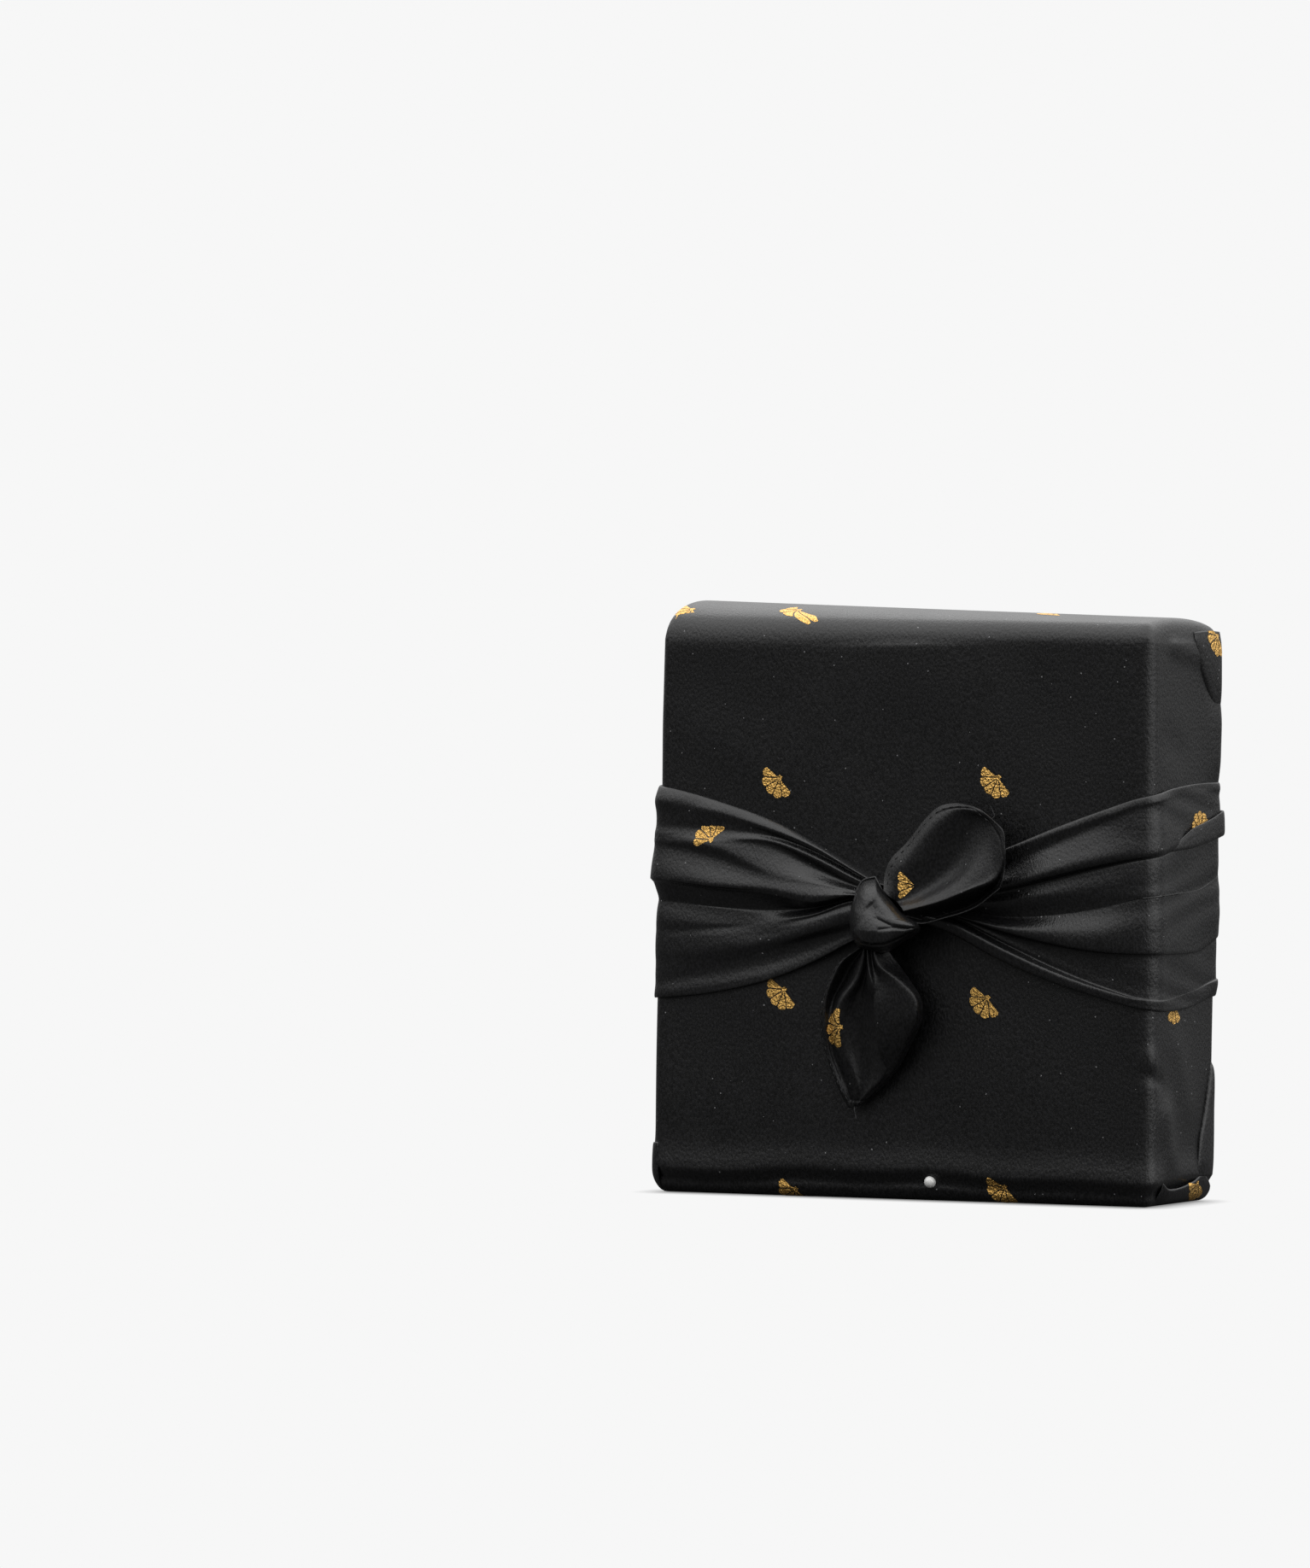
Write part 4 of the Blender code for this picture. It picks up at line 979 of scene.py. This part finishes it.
def tailGrid(tail):
    # A smooth sheet through its rows: one cubic curve along each column, then one across. A doubled hem
    # raises the strip along its first column and its last row.
    table = np.array(tail["rows"], float)
    if "roll" in tail:
        table = rolledLip(table, tail["roll"])
    grid = softenColumns(smoothSheet(table, tail["along"], tail["across"]), tailMesh["softenAcross"])
    grid = softenColumns(grid.transpose(1, 0, 2), tailMesh["softenAlong"]).transpose(1, 0, 2)
    fromSide = np.cumsum(np.linalg.norm(np.diff(grid, axis=1, prepend=grid[:, :1]), axis=-1), axis=1)
    steps = np.linalg.norm(np.diff(grid, axis=0, append=grid[-1:]), axis=-1)
    fromEnd = np.cumsum(steps[::-1], axis=0)[::-1]
    inside = np.minimum(fromSide, fromEnd)
    width, edge = tail["hemWidth"], tailMesh["hemEdge"]
    rise = tail["hemRise"] * (1 - softStep(inside, width - edge, width + edge))
    groove = np.exp(-(((inside - width - tailMesh["seamFrom"]) / tailMesh["seamWidth"]) ** 2))
    rise = rise - tailMesh["seamDepth"] * tail["hemRise"] * groove
    along = np.linspace(0, len(table) - 1, tail["along"])
    rise = rise * softStep(along, tail["hemFrom"], tail["hemFrom"] + 1)[:, None]
    normals = gridNormals(grid)
    outwards = np.where(normals[..., 1:2] > 0, -1.0, 1.0) * normals
    return grid + rise[..., None] * outwards, inside


upperSurface, upperInside = tailGrid(upperTail)
lowerSurface, lowerInside = tailGrid(lowerTail)
lowerSurface, lowerInside = lowerSurface[::-1], lowerInside[::-1]
upperPiece = clothPiece("upperTail", upperSurface, tailSatin)
lowerPiece = clothPiece("lowerTail", lowerSurface, tailSatin)
print("tails")

# Hem stitches and the two loose thread ends
sewing = {
    "pitch": 2.6, "dash": 1.4, "radius": 0.11, "steps": 7, "clearOfStart": 3, "clearOfEnd": 4,
    "fromHem": 0.25, "arch": 0.14, "sink": 0.02,  # where a stitch runs in the hem, and how it stands off it
    "looseRadius": 0.15, "looseSteps": 24, "sides": 8, "taper": 6, "searchColumns": 40,
    "aside": (0.13, -0.95, 0.28),  # a direction that no stitch or loose end runs along
    "loose": (
        ((35.2, -33.2, 106.8), (36.1, -33.0, 107.9), (35.6, -33.4, 109.6), (35.3, -33.8, 110.8)),
        ((-12.5, -26.0, 24.9), (-12.2, -26.4, 23.2), (-12.0, -26.2, 22.0), (-11.6, -26.6, 20.5)),
    ),
}


def tubeAlong(line, radius):
    # A round tube whose section stands across the line, tapered to a point at both ends.
    ahead = np.gradient(line, axis=0)
    ahead /= np.linalg.norm(ahead, axis=1, keepdims=True)
    first = np.cross(ahead, sewing["aside"])
    first /= np.linalg.norm(first, axis=1, keepdims=True)
    second = np.cross(ahead, first)
    turn = np.linspace(0, 2 * math.pi, sewing["sides"] + 1)[:-1]
    share = np.linspace(-1, 1, len(line))
    size = radius * np.sqrt(1 - np.abs(share) ** sewing["taper"])[:, None, None]
    ring = np.cos(turn)[None, :, None] * first[:, None] + np.sin(turn)[None, :, None] * second[:, None]
    return line[:, None] + size * ring


def hemLine(surface, inside, width):
    # One place for each row, at the given distance inside the free edge. A row that lies wholly in the end's
    # hem gives the last column searched.
    rows = np.arange(surface.shape[0])
    near = sewing["searchColumns"]
    side = np.array([np.interp(width, inside[r, :near], np.arange(near)) for r in rows])
    return sampleGrid(surface, rows.astype(float), side)


def makeThreads():
    # Short arched tubes at an even pitch along each hem, and the two loose ends as smooth curves.
    points, faces, count = [], [], 0
    lines = []
    steps = sewing["steps"]
    hems = ((upperSurface, upperInside, upperTail), (lowerSurface, lowerInside, lowerTail))
    for surface, inside, tail in hems:
        seam = hemLine(surface, inside, tail["hemWidth"] - sewing["fromHem"])
        run = runAlong(seam)
        for start in np.arange(sewing["clearOfStart"], run[-1] - sewing["clearOfEnd"], sewing["pitch"]):
            at = np.linspace(start, start + sewing["dash"], steps)
            dash = np.stack([np.interp(at, run, seam[:, k]) for k in range(3)], -1)
            dash[:, 1] -= sewing["arch"] * np.sin(np.linspace(0, math.pi, steps)) - sewing["sink"]
            lines.append((dash, sewing["radius"]))
    for line in sewing["loose"]:
        at = np.linspace(0, len(line) - 1, sewing["looseSteps"])
        lines.append((smoothCurve(at, np.arange(len(line)), line), sewing["looseRadius"]))
    for line, radius in lines:
        tube = tubeAlong(line, radius)
        points.append(tube.reshape(-1, 3))
        faces.append(gridFaces(*tube.shape[:2], closed=True) + count)
        count += tube.shape[0] * tube.shape[1]
    return newPiece("hemThreads", np.concatenate(points), np.concatenate(faces), sewingThread)


makeThreads()
print("threads")

# Gold foil shells
shell = {
    "lobes": (-68, -34, 0, 34, 68), "reach": (6.0, 6.0, 5.8, 5.9, 5.8), "start": 0.5, "halfWidth": 1.45,
    "halfAngle": 17, "endLength": 1.25, "gap": 0.17, "leastHalf": 0.05,
    "lift": 0.06, "lengthSteps": 18, "widthSteps": 9,
    "hinge": 0.8, "hingeRings": (0.05, 0.5, 1.0), "hingeSides": 24, "lumps": (0.16, 0.08),
}
anyHeight = (-10, 200)  # a range that hides nothing


def shellPattern():
    # Five lobes fanned from a hinge. Each is a wedge that fills its share of the fan, less a thin gap, up to
    # the full half width, and then closes in a round end. The hinge is a small lumpy disc.
    rows, columns = shell["lengthSteps"], shell["widthSteps"]
    t = np.linspace(0, 1, rows)[:, None]
    side = np.linspace(-1, 1, columns)[None, :]
    points, faces, count = [], [], 0
    for angle, reach in zip(shell["lobes"], shell["reach"]):
        radius = shell["start"] + (reach - shell["start"]) * t
        wedge = radius * math.tan(math.radians(shell["halfAngle"])) - shell["gap"]
        ending = np.clip((radius - reach) / shell["endLength"] + 1, 0, 1)
        full = shell["halfWidth"] * np.sqrt(1 - ending**2)
        half = np.minimum(np.clip(wedge, shell["leastHalf"], None), full)
        a = math.radians(angle)
        x = radius * math.sin(a) + half * side * math.cos(a)
        y = radius * math.cos(a) - half * side * math.sin(a)
        points.append(np.stack((x, y), -1).reshape(-1, 2))
        faces.append(gridFaces(rows, columns) + count)
        count += rows * columns
    rings, sides = shell["hingeRings"], shell["hingeSides"]
    turn = np.linspace(0, 2 * math.pi, sides + 1)[:-1]
    large, small = shell["lumps"]
    lump = shell["hinge"] * (1 + large * np.sin(5 * turn) + small * np.sin(3 * turn + 1))
    disc = np.stack((np.outer(rings, lump * np.cos(turn)), np.outer(rings, lump * np.sin(turn))), -1)
    points.append(disc.reshape(-1, 2))
    faces.append(gridFaces(len(rings), sides, closed=True)[:, ::-1] + count)
    return np.concatenate(points), np.concatenate(faces)


def layOn(grid, target, flat, heading, upHint):
    # Flat points laid on a grid round the place nearest to the target. The flat axis points along the
    # heading, in degrees anticlockwise from the surface's own right; lengths are kept along the row and
    # column there.
    away = np.linalg.norm(grid - np.array(target), axis=-1)
    row, column = np.unravel_index(np.argmin(away), away.shape)
    row, column = np.clip(row, 1, grid.shape[0] - 2), np.clip(column, 1, grid.shape[1] - 2)
    along = grid[row, column + 1] - grid[row, column - 1]
    along = along / np.linalg.norm(along)
    across = grid[row + 1, column] - grid[row - 1, column]
    across = across / np.linalg.norm(across)
    normal = np.cross(along, across)
    normal = normal / np.linalg.norm(normal)
    up = np.array(upHint) - normal * np.dot(normal, upHint)
    up = up / np.linalg.norm(up)
    right = np.cross(up, normal)
    turn = math.radians(heading - 90)
    x = flat[:, 0] * math.cos(turn) - flat[:, 1] * math.sin(turn)
    y = flat[:, 0] * math.sin(turn) + flat[:, 1] * math.cos(turn)
    moved = x[:, None] * right + y[:, None] * up
    skew = np.dot(along, across)
    a, b = moved @ along, moved @ across
    stepColumn, stepRow = (a - skew * b) / (1 - skew**2), (b - skew * a) / (1 - skew**2)
    columnRun, rowRun = runAlong(grid[row]), runAlong(grid[:, column])
    columns = np.interp(columnRun[column] + stepColumn, columnRun, np.arange(len(columnRun)))
    rows = np.interp(rowRun[row] + stepRow, rowRun, np.arange(len(rowRun)))
    return sampleGrid(grid, rows, columns) + shell["lift"] * sampleGrid(gridNormals(grid), rows, columns)


surfaces = {
    "body": bodySurface, **bandSurface, **flapSurface, "upper": upperSurface, "lower": lowerSurface,
}
onTop, upright = (0, 1, 0), (0, 0, 1)

# Surface, place of the hinge, heading of the fan, and which way is up there, then the heights between which
# it shows and the lobes that show, where a fold hides the rest.
prints = (
    ("body", (-37.9, -22.5, 118.1), 227, upright), ("body", (32.3, -22.5, 118.8), 227, upright),
    ("body", (-37.6, -22.5, 57.6), 227, upright), ("body", (29.1, -22.5, 56.4), 227, upright),
    ("body", (-34.5, -21.5, -0.4), 227, upright), ("body", (33.4, -21.5, 3.0), 227, upright),
    ("body", (-36.5, -14.0, 168.0), 227, onTop), ("body", (41.5, -7.0, 164.4), 227, onTop),
    ("tiedLeft", (-60.0, -25.0, 100.4), 124, upright, (90, 104.6)),
    ("upper", (9.8, -31.5, 88.0), 182, upright, (80, 95), (1, 4)),
    ("lower", (-14.8, -30.0, 47.3), 182, upright),
    ("tiedRight", (83.0, 7.6, 103.4), 96, upright, (103.2, 112)),
    ("body", (80.0, -6.8, 54.2), 266, upright, anyHeight, (1, 4)),
    ("rightCuff", (82.0, 8.6, 2.7), 264, upright, (-1.9, 20)),
    ("topEar", (82.5, 17.5, 159.0), 222, upright),
    ("body", (-70.5, -16.0, 168.5), 227, onTop), ("body", (-80.0, 2.0, 44.0), 227, upright),
    ("body", (-80.0, -4.0, 130.0), 227, upright),
    ("body", (60.0, 22.5, 128.0), 227, upright), ("body", (-10.0, 22.5, 134.0), 227, upright),
    ("body", (-62.0, 22.5, 126.0), 227, upright), ("body", (58.0, 22.5, 30.0), 227, upright),
    ("body", (-12.0, 22.5, 26.0), 227, upright), ("body", (-64.0, 22.5, 32.0), 227, upright),
    ("tiedLeft", (-60.0, 24.5, 84.0), 227, upright), ("tiedRight", (46.0, 24.5, 90.0), 227, upright),
)


def makePrints():
    # The same flat shell laid on each surface, less the cells that a fold hides.
    points, faces, count = [], [], 0
    flat, cells = shellPattern()
    lobe = np.arange(len(cells)) // ((shell["lengthSteps"] - 1) * (shell["widthSteps"] - 1))
    for surface, target, heading, up, *shown in prints:
        laid = layOn(surfaces[surface], target, flat, heading, up)
        low, high = shown[0] if shown else anyHeight
        first, last = shown[1] if len(shown) > 1 else (0, len(shell["lobes"]) + 1)
        middle = laid[cells][..., 2].mean(1)
        points.append(laid)
        faces.append(cells[(middle > low) & (middle < high) & (lobe >= first) & (lobe < last)] + count)
        count += len(flat)
    return newPiece("shellPrints", np.concatenate(points), np.concatenate(faces), goldFoil)


makePrints()
print("shells", len(prints))

# The bead-headed pin
pin = {
    "x": 10, "y": -22.0, "z": 3, "head": 1.75, "headEnd": 0.9, "headSteps": 22, "sides": 32,
    "collar": 0.5, "collarEnds": (0.1, 0.3), "shank": 0.3, "length": 16, "point": 0.8,
}


def pinGrid():
    # A turned profile about the pin's axis: round head with a short collar, then the thin shank.
    headTurn = np.linspace(0, math.pi * pin["headEnd"], pin["headSteps"])
    behind = np.array((*pin["collarEnds"], pin["length"], pin["length"] + pin["point"]))
    depth = np.concatenate((pin["y"] - pin["head"] * np.cos(headTurn), pin["y"] + pin["head"] + behind))
    shank = (pin["collar"], pin["shank"], pin["shank"], 0.0)
    radius = np.concatenate((pin["head"] * np.sin(headTurn), shank))
    turns = np.linspace(0, 2 * math.pi, pin["sides"] + 1)[:-1]
    x = pin["x"] + radius[:, None] * np.cos(turns)
    z = pin["z"] + radius[:, None] * np.sin(turns)
    return np.stack((x, np.broadcast_to(depth[:, None], x.shape), z), -1)


pinSurface = pinGrid()
pinPiece = newPiece("pinHead", pinSurface, gridFaces(*pinSurface.shape[:2], closed=True), pinPlastic)
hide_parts("bead_pin")
print("pin")

# Floor, light and camera
studio = {
    "pale": 0.93, "shadow": 0.25, "shadowReach": 0.008, "shadowSamples": 12,
    "floorDim": 0.06, "floorSize": 60.0, "floorDrop": 0.0002,
    # each light: direction axis, value below, value above, and the axis values between which it grows
    "lights": (("Z", 0.02, 2.25, 0.02, 0.84), ("Y", 0.0, 0.34, -0.1, 0.6), ("X", 0.0, 1.6, 0.70, 0.97)),
}
white = (1, 1, 1, 1)


def cameraSees(tree, seen, bounced, output):
    # One shader for what the camera sees and another for the light that bounces off or comes from it.
    straight = addNode(tree, "LightPath", {}).outputs["Is Camera Ray"]
    mix = addNode(tree, "MixShader", {"Fac": straight, 1: bounced.outputs[0], 2: seen.outputs[0]})
    addNode(tree, output, {"Surface": mix.outputs["Shader"]})


def makeFloor():
    # A pale plane that darkens close to the parcel for the camera, and that bounces little light.
    material = bpy.data.materials.new("paleFloor")
    material.use_nodes = True
    tree = material.node_tree
    tree.nodes.clear()
    reach, samples = studio["shadowReach"], studio["shadowSamples"]
    near = addNode(tree, "AmbientOcclusion", {"Distance": reach}, samples=samples)
    tone = spread(tree, near.outputs["AO"], studio["shadow"], studio["pale"])
    seen = addNode(tree, "Emission", {"Strength": tone})
    bounced = addNode(tree, "BsdfDiffuse", {"Color": (studio["floorDim"],) * 3 + (1,)})
    cameraSees(tree, seen, bounced, "OutputMaterial")
    half = studio["floorSize"] / 2
    mesh = bpy.data.meshes.new("floor")
    corners = [(-half, -half, 0), (half, -half, 0), (half, half, 0), (-half, half, 0)]
    mesh.from_pydata(corners, [], [(0, 1, 2, 3)])
    mesh.materials.append(material)
    floor = bpy.data.objects.new("floor", mesh)
    floor.location.z = -studio["floorDrop"]
    bpy.context.scene.collection.objects.link(floor)


def makeWorld():
    # Pale to the camera. Everything else is lit by one wide soft light overhead, that fades out towards the
    # horizon, by a pale backdrop behind the parcel and by a window far to the right.
    world = bpy.data.worlds.new("studio")
    bpy.context.scene.world = world
    world.use_nodes = True
    tree = world.node_tree
    tree.nodes.clear()
    place = addNode(tree, "TexCoord", {}).outputs["Generated"]
    split = addNode(tree, "SeparateXYZ", {"Vector": place})
    total = 0.0
    for axis, low, high, start, end in studio["lights"]:
        part = spread(tree, split.outputs[axis], low, high, start, end, interpolation_type="SMOOTHSTEP")
        total = reckon(tree, "ADD", part, total)
    seen = addNode(tree, "Background", {"Color": white, "Strength": studio["pale"]})
    room = addNode(tree, "Background", {"Color": white, "Strength": total})
    cameraSees(tree, seen, room, "OutputWorld")


camera = {
    "place": (0.92238, -1.78030, 0.11928), "ahead": (-0.4955, 0.8686, 0.0), "lens": 158.84, "sensor": 36,
    "near": 0.05, "far": 100,
}


def makeCamera():
    # A level long-lens camera, to the right of the parcel's front.
    data = bpy.data.cameras.new("photoCamera")
    data.lens = camera["lens"]
    data.sensor_width = camera["sensor"]
    data.clip_start, data.clip_end = camera["near"], camera["far"]
    obj = bpy.data.objects.new("photoCamera", data)
    obj.location = camera["place"]
    obj.rotation_euler = Vector(camera["ahead"]).to_track_quat("-Z", "Y").to_euler()
    bpy.context.scene.collection.objects.link(obj)
    bpy.context.scene.camera = obj


makeFloor()
makeWorld()
makeCamera()
bpy.context.scene.view_settings.view_transform = "Standard"
print("studio ready")
